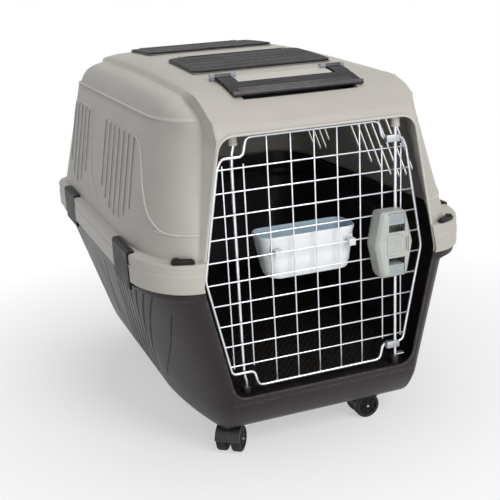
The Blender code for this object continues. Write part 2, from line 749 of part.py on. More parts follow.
for name, setback in (("front", FRONT_LID_SETBACK), ("rear", REAR_LID_SETBACK)):
    hinge = storage_bin(name + "_bin", FRONT + setback)
    bin_lid(name + "_lid", FRONT + setback, hinge)

# Carry handle: a bent strip whose arms swing on pins, over a finger pocket in the roof.
HANDLE_FRONT = LIP_Y + HANDLE_SETBACK
HANDLE_BACK = HANDLE_FRONT + HANDLE_DEPTH
HANDLE_PIVOT_Y = HANDLE_BACK + 0.002
HANDLE_PIVOT_Z = roof_height(HANDLE_PIVOT_Y) + HANDLE_RISE + 0.0042
KNUCKLE_RADIUS = 0.0045
HANDLE_PIN = 0.002
POCKET_HALF = 0.098
POCKET_WALL = 0.003
POCKET_FLANGE = 0.005
POCKET_LIP = 0.0015
POCKET_DROP = 0.0009
handle_half = HANDLE_WIDTH / 2
tongue_half = handle_half - HANDLE_ARM

pocket_low, pocket_high = HANDLE_FRONT - 0.004, HANDLE_FRONT + 0.034
pocket_floor = roof_height(HANDLE_FRONT) - POCKET_DEPTH
pocket_hole = rectangle(-POCKET_HALF - POCKET_WALL - 2 * GAP, pocket_low - POCKET_WALL - 2 * GAP,
                        POCKET_HALF + POCKET_WALL + 2 * GAP, pocket_high + POCKET_WALL + 2 * GAP)
cut(upper_shell, prism("pocket_hole", pocket_hole, "Z", LEDGE, ROOF_TOP, collection=cutters))
border = POCKET_WALL + POCKET_FLANGE
flange_rise = -WALL - POCKET_DROP - POCKET_LIP
pocket = prism("handle_pocket", roof_strip(pocket_low - border, pocket_high + border, flange_rise,
                                           POCKET_LIP, 6),
               "X", -POCKET_HALF - border, POCKET_HALF + border, dark_grey)
block = roof_strip(pocket_low - POCKET_WALL, pocket_high + POCKET_WALL, -GAP, WALL, 6)[:7]
block = block[::-1] + [(pocket_low - POCKET_WALL, pocket_floor - POCKET_WALL),
                       (pocket_high + POCKET_WALL, pocket_floor - POCKET_WALL)]
join(pocket, prism("pocket_block", block, "X", -POCKET_HALF - POCKET_WALL,
                   POCKET_HALF + POCKET_WALL, collection=cutters))
cut(pocket, box("pocket_space", (-POCKET_HALF, pocket_low, pocket_floor),
                (POCKET_HALF, pocket_high, ROOF_TOP), collection=cutters))
tongue = roof_strip(HANDLE_FRONT + HANDLE_GRIP + 0.0015, HANDLE_PIVOT_Y + KNUCKLE_RADIUS,
                    -WALL / 2, WALL / 2 + 0.004, 6)
join(upper_shell, prism("roof_tongue", tongue, "X", -tongue_half + 0.0015, tongue_half - 0.0015,
                        collection=cutters))
lug = roof_strip(HANDLE_PIVOT_Y - KNUCKLE_RADIUS, HANDLE_PIVOT_Y + KNUCKLE_RADIUS, -WALL / 2,
                 WALL / 2 + 0.0095, 2)
for side in (-1, 1):
    for near, far in ((tongue_half - 0.010, tongue_half - 0.0006),
                      (handle_half + 0.0006, handle_half + 0.008)):
        reach = sorted((side * near, side * far))
        join(upper_shell, prism("handle_lug", lug, "X", *reach, collection=cutters))
cut(upper_shell, cylinder("handle_pin_hole", HANDLE_PIN + GAP,
                          (-SIDE, HANDLE_PIVOT_Y, HANDLE_PIVOT_Z),
                          (SIDE, HANDLE_PIVOT_Y, HANDLE_PIVOT_Z), sides=12, collection=cutters))

handle = prism("carry_handle", roof_strip(HANDLE_FRONT, HANDLE_BACK, HANDLE_RISE, HANDLE_THICKNESS),
               "X", -handle_half, handle_half, dark_grey)
cut(handle, box("handle_gap", (-tongue_half, HANDLE_FRONT + HANDLE_GRIP, LEDGE),
                (tongue_half, HANDLE_BACK + 0.01, ROOF_TOP), collection=cutters))
lip_z = roof_height(HANDLE_FRONT) + HANDLE_RISE + 0.0042
join(handle, cylinder("handle_lip", 0.0042, (-handle_half, HANDLE_FRONT + 0.001, lip_z),
                      (handle_half, HANDLE_FRONT + 0.001, lip_z), sides=12, collection=cutters))
for side, label in ((-1, "left"), (1, "right")):
    reach = sorted((side * tongue_half, side * handle_half))
    join(handle, cylinder("handle_knuckle", KNUCKLE_RADIUS,
                          (reach[0], HANDLE_PIVOT_Y, HANDLE_PIVOT_Z),
                          (reach[1], HANDLE_PIVOT_Y, HANDLE_PIVOT_Z), sides=16,
                          collection=cutters))
    reach = sorted((side * (tongue_half - 0.010), side * (handle_half + 0.008)))
    cylinder(f"{label}_handle_pin", HANDLE_PIN, (reach[0], HANDLE_PIVOT_Y, HANDLE_PIVOT_Z),
             (reach[1], HANDLE_PIVOT_Y, HANDLE_PIVOT_Z), zinc, 12)
cut(handle, cylinder("handle_bore", HANDLE_PIN + GAP, (-SIDE, HANDLE_PIVOT_Y, HANDLE_PIVOT_Z),
                     (SIDE, HANDLE_PIVOT_Y, HANDLE_PIVOT_Z), sides=12, collection=cutters))
smooth(handle)
pivot(handle, (0.0, HANDLE_PIVOT_Y, HANDLE_PIVOT_Z))

# Floor tray: a plate on long ribs, let down onto the tub's bottom.
RIB_SPACING = 0.09
RIB_THICKNESS = 0.003
RIB_START = 0.101
RIB_END = 0.131
TRAY_CLEAR = 0.006
BUSH_RADIUS = 0.0065
HINGE_BUSH_HEIGHT = 0.014
BOLT_BUSH_HEIGHT = 0.020
tray_low = TRAY_TOP - TRAY_THICKNESS
tray_side = tub_side(tray_low) - TRAY_CLEAR
tray_front = LIP_Y + TRAY_CLEAR
tray_back = REAR - TUB_INSET - TUB_BACK_TAPER * (RIM_BOTTOM - COLLAR_DEPTH - tray_low) - TRAY_CLEAR
tray_flat = opening_half_width(SILL)
tray_edge = half_ring((tray_flat, tray_front), tray_side, TUB_FRONT_CORNER,
                      (tray_flat, tray_back), TUB_REAR_CORNER, TUB_FRONT_POWER)
tray_outline = tray_edge + [(-x, y) for x, y in reversed(tray_edge)]
floor_tray = prism("floor_tray", tray_outline, "Z", tray_low, TRAY_TOP, lower_grey)
rib_foot = TUB_BOTTOM + WALL + GAP
for i in range(-1, 2):
    rib = box("tray_rib", (i * RIB_SPACING - RIB_THICKNESS / 2, FRONT + RIB_START, rib_foot),
              (i * RIB_SPACING + RIB_THICKNESS / 2, REAR - RIB_END, TRAY_TOP - 0.001),
              collection=cutters)
    join(floor_tray, rib)
for name, x, y, height in (("hinge_bush", -HINGE_X, HINGE_Y, HINGE_BUSH_HEIGHT),
                           ("bolt_bush", BOLT_X, BOLT_Y, BOLT_BUSH_HEIGHT)):
    cut(floor_tray, cylinder(name + "_clearance", BUSH_RADIUS + 2 * GAP, (x, y, tray_low - 0.01),
                             (x, y, TRAY_TOP + 0.01), sides=20, collection=cutters))
    foot = SHELF_TOP + GAP
    bush = cylinder(name, BUSH_RADIUS, (x, y, foot), (x, y, foot + height), lower_grey, 20)
    cut(bush, cylinder(name + "_hole", ROD_HOLE, (x, y, foot + 0.003), (x, y, foot + 0.03),
                       sides=16, collection=cutters))

# Door: a bent frame with welded uprights and cross wires, and a rod that hinges it.
STACK = WIRE_RADIUS * 0.6
DOOR_BOTTOM = SILL + DOOR_LIFT - 0.001
DOOR_TOP = OPENING_TOP - DOOR_CLEAR + 0.0005
UPPER_STEP = OPENING_TOP - 0.037
LOWER_STEP = SILL + 0.0355
top_x, middle_x, bottom_x = OPENING_TOP_WIDTH / 2, OPENING_MIDDLE_WIDTH / 2, OPENING_BOTTOM_WIDTH / 2
FRAME_CORNERS = [(top_x - 0.051, DOOR_TOP, 0.009), (top_x - 0.0445, UPPER_STEP, 0.008),
                 (top_x - 0.008, UPPER_STEP, 0.008), (top_x, UPPER_STEP - 0.016, 0.012),
                 (middle_x - 0.0122, OPENING_VERTEX, 0.030), (bottom_x - 0.0025, LOWER_STEP, 0.008),
                 (top_x - 0.0445, LOWER_STEP, 0.008), (top_x - 0.051, DOOR_BOTTOM, 0.009)]
corner_points = [(x, z) for x, z, radius in FRAME_CORNERS]
corner_radii = [radius for x, z, radius in FRAME_CORNERS]
frame_path = rounded(corner_points + [(-x, z) for x, z in reversed(corner_points)],
                     corner_radii + corner_radii[::-1], 3)
door_grille = wire("door_grille", [(x, DOOR_Y, z) for x, z in frame_path], FRAME_RADIUS, zinc,
                   closed=True)


def frame_half_width(height):
    """Half width of the door frame's outline at a height between its notches."""
    for (x0, z0), (x1, z1) in zip(corner_points, corner_points[1:]):
        if z1 <= height <= z0:
            return blend(x0, x1, (height - z0) / (z1 - z0))


CROSS_COUNT = 10
CROSS_BOTTOM = SILL + 0.051
CROSS_TOP = OPENING_TOP - 0.054
CROSS_STEP = (CROSS_TOP - CROSS_BOTTOM) / (CROSS_COUNT - 1)
STUB = 0.0045
cross_heights = [CROSS_BOTTOM + i * CROSS_STEP for i in range(CROSS_COUNT)]
upright_runs = []
for i in range(-2, 3):
    x, y = i * WIRE_PITCH, DOOR_Y + STACK
    upright_runs.append(((x, y, DOOR_BOTTOM), (x, y, DOOR_TOP)))
for x in (3 * WIRE_PITCH, top_x - 0.009):
    for side in (-1, 1):
        point = (side * x, DOOR_Y + STACK)
        upright_runs.append(((*point, cross_heights[0] - STUB), (*point, cross_heights[-1] + STUB)))
cross_runs = []
for z in cross_heights:
    half, y = frame_half_width(z), DOOR_Y - STACK
    cross_runs.append(((-half, y, z), (half, y, z)))
join(door_grille, bars("door_uprights", upright_runs, WIRE_RADIUS, 6))
join(door_grille, bars("door_crosses", cross_runs, WIRE_RADIUS, 6))
pivot(door_grille, (-HINGE_X, HINGE_Y, 0.0))

ROD_CRANK = 0.004
rod_foot = SHELF_TOP + GAP + 0.0035
rod_points = [(-HINGE_X, HINGE_Y, ROD_TOP), (-HINGE_X, HINGE_Y, SOCKET_BOTTOM - 0.006),
              (-HINGE_X - ROD_CRANK, HINGE_Y, SOCKET_BOTTOM - 0.014),
              (-HINGE_X - ROD_CRANK, HINGE_Y, 0.158), (-HINGE_X, HINGE_Y, 0.150),
              (-HINGE_X, HINGE_Y, rod_foot)]
hinge_rod = wire("hinge_rod", rod_points, ROD_RADIUS, zinc)
pivot(hinge_rod, (-HINGE_X, HINGE_Y, 0.0))

# Latch: two moulded halves clamped round the door's wires, with a squeeze slide for each bolt.
LATCH_LOW = RIM_TOP - 0.081
LATCH_HIGH = LATCH_LOW + 0.116
LATCH_MIDDLE = (BOLT_X - 0.0135, (LATCH_LOW + LATCH_HIGH) / 2)
LATCH_OUTLINE = [(BOLT_X - 0.037, LATCH_LOW), (BOLT_X + 0.0115, LATCH_LOW),
                 (BOLT_X + 0.023, LATCH_MIDDLE[1]), (BOLT_X + 0.009, LATCH_HIGH),
                 (BOLT_X - 0.037, LATCH_HIGH), (BOLT_X - 0.049, LATCH_MIDDLE[1])]
LATCH_RADII = [0.006, 0.006, 0.020, 0.006, 0.006, 0.020]
LATCH_FRONT = FRONT + GAP
LATCH_CHAMFER = 0.007
LATCH_WALL = 0.003
LATCH_BACK = DOOR_Y - STACK - WIRE_RADIUS - GAP
latch_grey = material("pale grey latch plastic", LATCH_GREY, 0.35)
latch_edge = rounded(LATCH_OUTLINE, LATCH_RADII, 3)


def shrunk(outline, inset):
    """An outline pulled in towards the latch's middle by about one inset."""
    points = []
    for x, z in outline:
        share_x = 1 - inset / 0.036
        share_z = 1 - inset / 0.058
        points.append((blend(LATCH_MIDDLE[0], x, share_x), blend(LATCH_MIDDLE[1], z, share_z)))
    return points


def stack(name, rings, shade=None, collection=crate):
    """Closed rings joined one after another, with a cap on the first and the last."""
    bm = bmesh.new()
    rows = [[bm.verts.new(point) for point in ring] for ring in rings]
    for lower, upper in zip(rows, rows[1:]):
        for i in range(len(lower)):
            after = (i + 1) % len(lower)
            bm.faces.new((lower[i], lower[after], upper[after], upper[i]))
    bm.faces.new(rows[0])
    bm.faces.new(rows[-1])
    return place(name, to_mesh(name, bm), shade, collection)


levels = [(LATCH_BACK, 0.0), (LATCH_FRONT + LATCH_CHAMFER, 0.0), (LATCH_FRONT + 0.002, 0.0035),
          (LATCH_FRONT, 0.007)]
latch_front = stack("latch_front", [[(x, y, z) for x, z in shrunk(latch_edge, inset)]
                                    for y, inset in levels], latch_grey)
hollow = [(LATCH_BACK + 0.01, LATCH_WALL), (LATCH_FRONT + LATCH_CHAMFER, LATCH_WALL),
          (LATCH_FRONT + LATCH_WALL, 0.0085)]
cut(latch_front, stack("latch_hollow", [[(x, y, z) for x, z in shrunk(latch_edge, inset)]
                                        for y, inset in hollow], collection=cutters))
cut(latch_front, cylinder("latch_rod_holes", ROD_HOLE, (BOLT_X, BOLT_Y, LATCH_LOW - 0.01),
                          (BOLT_X, BOLT_Y, LATCH_HIGH + 0.01), sides=16, collection=cutters))
latch_back = prism("latch_back", shrunk(latch_edge, 0.002), "Y", DOOR_Y + STACK + WIRE_RADIUS
                   + GAP, DOOR_Y + STACK + WIRE_RADIUS + 0.0045, latch_grey)

BOLT_TRAVEL = 0.012
SLIDE_HEIGHT = 0.019
ROD_PLATE_Z = SILL + 0.0146
slide_low_x, slide_high_x = BOLT_X - 0.025, BOLT_X + 0.005
bolt_foot = SHELF_TOP + GAP + 0.0105
slides = [("upper", LATCH_HIGH - LATCH_WALL - 3 * GAP, -1), ("lower", LATCH_LOW + LATCH_WALL
                                                              + 3 * GAP, 1)]
for name, outer_z, way in slides:
    inner_z = outer_z + way * SLIDE_HEIGHT
    travel_z = inner_z + way * BOLT_TRAVEL
    window = sorted((outer_z - way * 2 * GAP, travel_z + way * 2 * GAP))
    cut(latch_front, box(name + "_window", (slide_low_x - 2 * GAP, LATCH_FRONT - 0.01, window[0]),
                         (slide_high_x + 2 * GAP, LATCH_FRONT + 0.012, window[1]),
                         collection=cutters))
    reach = sorted((outer_z, inner_z))
    slide = box(name + "_slider", (slide_low_x, LATCH_FRONT + 0.0012, reach[0]),
                (slide_high_x, BOLT_Y + ROD_RADIUS, reach[1]), latch_grey)
    ends = sorted((outer_z - way * GAP, ROD_TOP if way < 0 else bolt_foot))
    rod = cylinder(name + "_rod", ROD_RADIUS, (BOLT_X, BOLT_Y, ends[0]),
                   (BOLT_X, BOLT_Y, ends[1]), zinc, 12)
    pivot(slide, (BOLT_X, BOLT_Y, reach[0]))
    if way > 0:
        join(rod, box("rod_foot", (BOLT_X - 0.001, BOLT_Y - 0.005, ROD_PLATE_Z),
                      (BOLT_X + 0.016, BOLT_Y + 0.005, ROD_PLATE_Z + 0.002), collection=cutters))
    pivot(rod, (BOLT_X, BOLT_Y, ends[0]))

for name, z in (("upper_guide", UPPER_STEP), ("lower_guide", LOWER_STEP)):
    plate = box(name, (BOLT_X - 0.018, BOLT_Y - ROD_RADIUS - 0.002, z - 0.006),
                (BOLT_X + 0.007, DOOR_Y - FRAME_RADIUS - GAP, z + 0.006), zinc, 0.0008)
    cut(plate, cylinder(name + "_hole", ROD_HOLE, (BOLT_X, BOLT_Y, z - 0.02),
                        (BOLT_X, BOLT_Y, z + 0.02), sides=16, collection=cutters))

# Feeding bowl: a tapered trough that hooks over one cross wire inside the door.
BOWL_Y = DOOR_Y + 0.012
HOOK_CROSS_WIRE = 5
BOWL_RISE = 0.0223
BOWL_TOP = cross_heights[HOOK_CROSS_WIRE] + BOWL_RISE
BOWL_MIDDLE = -0.004
BOWL_TAPER = 0.012
HOOK_WIDTH = 0.012
HOOK_PLACES = (-0.071, 0.064)
HOOK_THICKNESS = 0.0026


def bowl_ring(height, tuck, corner_radius):
    half = BOWL_WIDTH / 2 - tuck
    outline = rounded(rectangle(BOWL_MIDDLE - half, BOWL_Y + tuck * 0.2, BOWL_MIDDLE + half,
                                BOWL_Y + BOWL_DEPTH - tuck), [corner_radius] * 4, 4)
    return [(x, y, height) for x, y in outline]


bowl_foot = BOWL_TOP - BOWL_HEIGHT
bowl_blue = material("pale blue bowl plastic", BOWL_BLUE, 0.3)
feeder_bowl = stack("feeder_bowl", [
    bowl_ring(bowl_foot, BOWL_TAPER + 0.004, 0.018),
    bowl_ring(bowl_foot + 0.004, BOWL_TAPER, 0.020),
    bowl_ring(BOWL_TOP, 0.0, 0.022),
    bowl_ring(BOWL_TOP, BOWL_WALL, 0.0195),
    bowl_ring(bowl_foot + 0.007, BOWL_TAPER + BOWL_WALL, 0.0175),
    bowl_ring(bowl_foot + BOWL_WALL, BOWL_TAPER + 0.008, 0.014)], bowl_blue)
hook_wire = cross_heights[HOOK_CROSS_WIRE]
hook_y = DOOR_Y - STACK
near, far = BOWL_Y + 0.0008, hook_y - WIRE_RADIUS - GAP
shelf_low = hook_wire + WIRE_RADIUS + GAP
hook = [(near, shelf_low), (far, shelf_low), (far, hook_wire - 0.008),
        (far - HOOK_THICKNESS, hook_wire - 0.008), (far - HOOK_THICKNESS, shelf_low
                                                    + HOOK_THICKNESS), (near, shelf_low
                                                                        + HOOK_THICKNESS)]
for x in HOOK_PLACES:
    join(feeder_bowl, prism("bowl_hook", hook, "X", x - HOOK_WIDTH / 2, x + HOOK_WIDTH / 2,
                            collection=cutters))
smooth(feeder_bowl)

# Side clips grip the rim's flange and swing out on a pin line under the collar.
clip_top, clip_foot = RIM_TOP + 0.004, RIM_BOTTOM - 0.0135
CLIP_SECTION = [(SIDE - 0.014, RIM_TOP + 0.0006), (SIDE - 0.014, clip_top), (SIDE - 0.004, clip_top),
                (SIDE, RIM_TOP + 0.0005), (SIDE, clip_foot), (SIDE - 0.0047, clip_foot),
                (SIDE - 0.0047, RIM_BOTTOM + 0.002), (SIDE - 0.0035, RIM_BOTTOM + 0.004),
                (SIDE - 0.0035, RIM_TOP + 0.0006)]
CLIP_PIVOT = (SIDE - 0.0026, clip_foot + 0.0005)
for side, side_name in ((-1, "left"), (1, "right")):
    for end_name, y in (("front", FRONT_CLIP_Y), ("rear", REAR_CLIP_Y)):
        section = [(side * x, z) for x, z in CLIP_SECTION]
        clip = prism(f"{end_name}_{side_name}_clip", section, "Y", y - CLIP_LENGTH / 2,
                     y + CLIP_LENGTH / 2, dark_grey)
        pivot(clip, (side * CLIP_PIVOT[0], y, CLIP_PIVOT[1]))

# Turn-locks: thumb levers that turn on a stub through the rim's top.
# Hub and tip of each pair of levers, as half widths and insets from the rim's end.
LOCK_POINTS = {"front": ((0.248, 0.0225), (0.225, 0.0085)),
               "rear": ((0.262, 0.0167), (0.236, 0.0085))}
LOCK_TIP_RADIUS = 0.0045
LOCK_HEIGHT = 0.006
STUB_RADIUS = 0.003


def lever_outline():
    """Two arcs joined by straight sides, drawn along X from the hub at the origin."""
    points = []
    for start, middle, radius in ((100, 0.0, LOCK_RADIUS), (-80, LOCK_LENGTH, LOCK_TIP_RADIUS)):
        for step in range(9):
            angle = math.radians(start + step * 20)
            points.append((middle + radius * math.cos(angle), radius * math.sin(angle)))
    return points


for end, end_name in ((-1, "front"), (1, "rear")):
    for side, side_name in ((-1, "left"), (1, "right")):
        hub, tip = [(side * x, end * (REAR - inset)) for x, inset in LOCK_POINTS[end_name]]
        name = f"{end_name}_{side_name}_lock"
        stub_hole = cylinder(name + "_hole", STUB_RADIUS + GAP, (*hub, RIM_TOP - 0.01),
                             (*hub, RIM_TOP + 0.01), sides=12, collection=cutters)
        cut(upper_shell, stub_hole)
        lock = prism(name, lever_outline(), "Z", RIM_TOP + GAP, RIM_TOP + GAP + LOCK_HEIGHT, dark_grey)
        stub = cylinder(name + "_stub", STUB_RADIUS, (0, 0, RIM_TOP - WALL), (0, 0, RIM_TOP + 0.003),
                        sides=12, collection=cutters)
        heading = math.atan2(tip[1] - hub[1], tip[0] - hub[0])
        for item in (lock, stub):
            item.location = (*hub, 0.0)
            item.rotation_euler.z = heading
        join(lock, stub)
        smooth(lock)

# Castors: a plate and stem under the tub, a hooded fork that swivels, an axle and two wheels.
PLATE_RADIUS = 0.018
PLATE_THICKNESS = 0.003
STEM_RADIUS = 0.004
WEB_HALF = 0.004
HOOD_OUTER = 0.0285
HOOD_INNER = 0.0262
HOOD_HALF = 0.0225
HUB_RADIUS = 0.010
WHEEL_SIDES = 16
black = material("black castor plastic", BLACK, 0.45)
rubber = material("black wheel rubber", BLACK, 0.7)
plate_top = TUB_BOTTOM - GAP
plate_low = plate_top - PLATE_THICKNESS
hub_low = 0.043
stem_low = hub_low + 0.0018
wheel_profile = [(AXLE_RADIUS + GAP, 0.0), (WHEEL_RADIUS - 0.006, 0.0),
                 (WHEEL_RADIUS - 0.002, 0.001), (WHEEL_RADIUS, 0.004),
                 (WHEEL_RADIUS, WHEEL_WIDTH - 0.004), (WHEEL_RADIUS - 0.002, WHEEL_WIDTH - 0.001),
                 (WHEEL_RADIUS - 0.006, WHEEL_WIDTH), (AXLE_RADIUS + GAP, WHEEL_WIDTH)]
web = [(-0.009, plate_low - GAP), (-0.009, 0.036), (0.012, 0.018), (0.022, 0.0155),
       (0.031, 0.018), (0.034, 0.028), (0.033, 0.046), (0.024, 0.0515), (0.009, plate_low - GAP)]


def turned(name, profile, start, shade):
    """A ring turned about the X axis from a closed (radius, length) profile."""
    bm = bmesh.new()
    knots = [bm.verts.new((start + along, 0.0, radius)) for radius, along in profile]
    for a, b in zip(knots, knots[1:] + knots[:1]):
        bm.edges.new((a, b))
    mesh = bpy.data.meshes.new(name)
    bm.to_mesh(mesh)
    bm.free()
    item = place(name, mesh, shade)
    turn = item.modifiers.new("turned", "SCREW")
    turn.axis = "X"
    turn.steps = WHEEL_SIDES
    turn.render_steps = WHEEL_SIDES
    turn.use_merge_vertices = True
    turn.merge_threshold = 0.00001
    turn.use_normal_flip = True
    return item


def hood_outline():
    points = []
    for radius, order in ((HOOD_OUTER, 1), (HOOD_INNER, -1)):
        for step in range(9)[::order]:
            angle = math.radians(blend(10, 138, step / 8))
            points.append((WHEEL_OFFSET + radius * math.cos(angle),
                           WHEEL_RADIUS + radius * math.sin(angle)))
    return points


def castor(name, x, y, heading):
    """One twin-wheel castor, built about its pivot with the wheels trailing along local +Y."""
    mount = cylinder(name + "_mount", PLATE_RADIUS, (0, 0, plate_low), (0, 0, plate_top), black, 20)
    stem = cylinder(name + "_stem", STEM_RADIUS, (0, 0, stem_low), (0, 0, plate_low + 0.001),
                    sides=12, collection=cutters)
    join(mount, stem)
    fork = prism(name + "_fork", web, "X", -WEB_HALF, WEB_HALF, black)
    hub = cylinder(name + "_hub", HUB_RADIUS, (0, 0, hub_low), (0, 0, plate_low - GAP),
                   sides=16, collection=cutters)
    hood = prism(name + "_hood", hood_outline(), "X", -HOOD_HALF, HOOD_HALF, collection=cutters)
    bore = cylinder(name + "_bore", STEM_RADIUS + GAP, (0, 0, stem_low - GAP), (0, 0, 0.07),
                    sides=12, collection=cutters)
    axle_bore = cylinder(name + "_axle_bore", AXLE_RADIUS + GAP, (-0.05, WHEEL_OFFSET, WHEEL_RADIUS),
                         (0.05, WHEEL_OFFSET, WHEEL_RADIUS), sides=12, collection=cutters)
    join(fork, hub)
    join(fork, hood)
    cut(fork, bore)
    cut(fork, axle_bore)
    smooth(fork)
    reach = WEB_HALF + 2 * GAP + WHEEL_WIDTH
    axle = cylinder(name + "_axle", AXLE_RADIUS, (-reach, WHEEL_OFFSET, WHEEL_RADIUS),
                    (reach, WHEEL_OFFSET, WHEEL_RADIUS), zinc, 12)
    for item in (mount, stem, fork, hub, hood, bore, axle_bore, axle):
        item.location = (x, y, 0.0)
        item.rotation_euler.z = heading
    trail = Matrix.Rotation(heading, 3, "Z") @ Vector((0, WHEEL_OFFSET, WHEEL_RADIUS))
    for label, start in (("a", -reach), ("b", WEB_HALF + 2 * GAP)):
        wheel = turned(f"{name}_wheel_{label}", wheel_profile, start, rubber)
        wheel.location = Vector((x, y, 0)) + trail
        wheel.rotation_euler.z = heading


castor("front_left", -CASTOR_X, FRONT_CASTOR_Y, math.radians(143))
castor("front_right", CASTOR_X, FRONT_CASTOR_Y, math.radians(90))
castor("rear_left", -CASTOR_X, REAR_CASTOR_Y, math.radians(143))
castor("rear_right", CASTOR_X, REAR_CASTOR_Y, math.radians(90))
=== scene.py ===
import bpy, bmesh, math
from mathutils import Euler, Matrix, Vector
from mathutils.bvhtree import BVHTree


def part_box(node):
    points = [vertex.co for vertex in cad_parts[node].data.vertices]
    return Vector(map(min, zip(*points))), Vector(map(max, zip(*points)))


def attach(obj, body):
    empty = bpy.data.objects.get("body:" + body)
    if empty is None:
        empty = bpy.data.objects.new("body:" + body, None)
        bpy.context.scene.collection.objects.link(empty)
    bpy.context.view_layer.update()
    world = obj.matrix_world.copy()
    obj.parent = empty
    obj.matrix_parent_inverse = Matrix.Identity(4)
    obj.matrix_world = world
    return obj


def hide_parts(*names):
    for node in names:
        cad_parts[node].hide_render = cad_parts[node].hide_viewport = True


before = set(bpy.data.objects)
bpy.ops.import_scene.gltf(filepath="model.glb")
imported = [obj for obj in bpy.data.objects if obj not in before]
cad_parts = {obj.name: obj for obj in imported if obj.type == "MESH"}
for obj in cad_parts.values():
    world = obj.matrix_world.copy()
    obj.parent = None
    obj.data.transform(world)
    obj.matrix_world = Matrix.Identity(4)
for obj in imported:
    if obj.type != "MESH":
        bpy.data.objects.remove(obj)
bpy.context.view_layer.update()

# Studio: the crate stands on a plain pale floor that runs out to white, under one large
# soft lamp in front, with weaker ones before the door, at the left and overhead, and a pale sky.
scene = bpy.context.scene
scene.view_settings.view_transform = "Standard"
camera_data = bpy.data.cameras.new("camera")
camera_data.lens, camera_data.sensor_width = 66.85, 36.0
camera_data.shift_y = 0.1
camera_data.clip_start = 0.01
camera = bpy.data.objects.new("camera", camera_data)
scene.collection.objects.link(camera)
camera.location = (-0.61976, -1.72311, 0.82685)
camera.rotation_euler = Euler([math.radians(a) for a in (69.734, 3.012, -21.202)], "XYZ")
scene.camera = camera

for name, place, aim, size, power, tint in (
        ("window_lamp", (0.7, -2.9, 2.3), (0.0, 0.0, 0.3), 1.7, 56.0, (1.0, 0.985, 0.965)),
        ("door_lamp", (-0.55, -2.7, 0.5), (0.0, 0.0, 0.35), 1.2, 9.0, (1.0, 0.98, 0.95)),
        ("side_lamp", (-2.5, -0.9, 1.3), (0.0, -0.1, 0.35), 1.8, 2.0, (0.93, 0.96, 1.0)),
        ("roof_lamp", (0.2, 0.5, 3.0), (0.0, 0.0, 0.5), 2.0, 16.0, (1.0, 0.96, 0.90))):
    lamp = bpy.data.objects.new(name, bpy.data.lights.new(name, "AREA"))
    lamp.data.shape = "DISK"
    lamp.data.size = size
    lamp.data.energy = power
    lamp.data.color = tint
    lamp.location = place
    lamp.rotation_euler = (Vector(aim) - Vector(place)).to_track_quat("-Z", "Y").to_euler()
    scene.collection.objects.link(lamp)


def node_of(tree, kind, **settings):
    """Adds one shader node; settings name its attributes, or, after in_, its inputs."""
    made = tree.nodes.new("ShaderNode" + kind)
    for key, value in settings.items():
        if key.startswith("in_"):
            made.inputs[key[3:].replace("_", " ")].default_value = value
        else:
            setattr(made, key, value)
    return made


def spread(tree, source, low, high, to_low=0.0, to_high=1.0):
    """Maps a value from one span to another, clamped."""
    made = node_of(tree, "MapRange")
    for i, value in enumerate((low, high, to_low, to_high)):
        made.inputs[i + 1].default_value = value
    tree.links.new(source, made.inputs[0])
    return made.outputs[0]


def sum_of(tree, operation, first, second):
    """One math node on two links or numbers."""
    made = node_of(tree, "Math", operation=operation)
    for slot, value in zip(made.inputs, (first, second)):
        if isinstance(value, (int, float)):
            slot.default_value = value
        else:
            tree.links.new(value, slot)
    return made.outputs[0]


def new_material(name):
    """A material with its node tree and its shader."""
    made = bpy.data.materials.new(name)
    made.use_nodes = True
    return made, made.node_tree, made.node_tree.nodes["Principled BSDF"]


def seen_plainly(tree):
    """One for rays from the camera, a reflection or a clear material, and nought for the rest."""
    path = node_of(tree, "LightPath").outputs
    return sum_of(tree, "MAXIMUM", sum_of(tree, "MAXIMUM", path["Is Camera Ray"], path["Is Glossy Ray"]),
                  path["Is Transmission Ray"])


def show_instead(tree, share, lit, shown, output):
    """Mixes the shader that is shown into the one that lights, by a share."""
    mix = node_of(tree, "MixShader")
    tree.links.new(share, mix.inputs["Fac"])
    tree.links.new(lit.outputs[0], mix.inputs[1])
    tree.links.new(shown.outputs[0], mix.inputs[2])
    tree.links.new(mix.outputs[0], tree.nodes[output].inputs["Surface"])


sky = bpy.data.worlds.new("studio sky")
scene.world = sky
sky.use_nodes = True
soft_sky = sky.node_tree.nodes["Background"]
soft_sky.inputs["Color"].default_value = (0.94, 0.96, 1.0, 1.0)
soft_sky.inputs["Strength"].default_value = 0.33
white_sky = node_of(sky.node_tree, "Background", in_Color=(1.0, 1.0, 1.0, 1.0), in_Strength=1.0)
show_instead(sky.node_tree, seen_plainly(sky.node_tree), soft_sky, white_sky, "World Output")

floor_mesh = bmesh.new()
bmesh.ops.create_grid(floor_mesh, x_segments=2, y_segments=2, size=6.0)
floor_data = bpy.data.meshes.new("floor")
floor_mesh.to_mesh(floor_data)
floor_mesh.free()
floor = bpy.data.objects.new("floor", floor_data)
scene.collection.objects.link(floor)
floor_paint, floor_tree, floor_shader = new_material("pale floor")
floor_shader.inputs["Base Color"].default_value = (0.90, 0.90, 0.90, 1.0)
floor_shader.inputs["Roughness"].default_value = 0.9
FADE_START, FADE_END, GLOW_LOW, GLOW_HIGH = 0.30, 0.95, 0.50, 1.0
floor_reach = node_of(floor_tree, "VectorMath", operation="LENGTH")
floor_tree.links.new(node_of(floor_tree, "TexCoord").outputs["Object"], floor_reach.inputs[0])
floor_fade = spread(floor_tree, floor_reach.outputs["Value"], FADE_START, FADE_END, GLOW_LOW, GLOW_HIGH)
floor_share = sum_of(floor_tree, "MULTIPLY", seen_plainly(floor_tree), floor_fade)
show_instead(floor_tree, floor_share, floor_shader, node_of(floor_tree, "Emission"), "Material Output")
floor_data.materials.append(floor_paint)

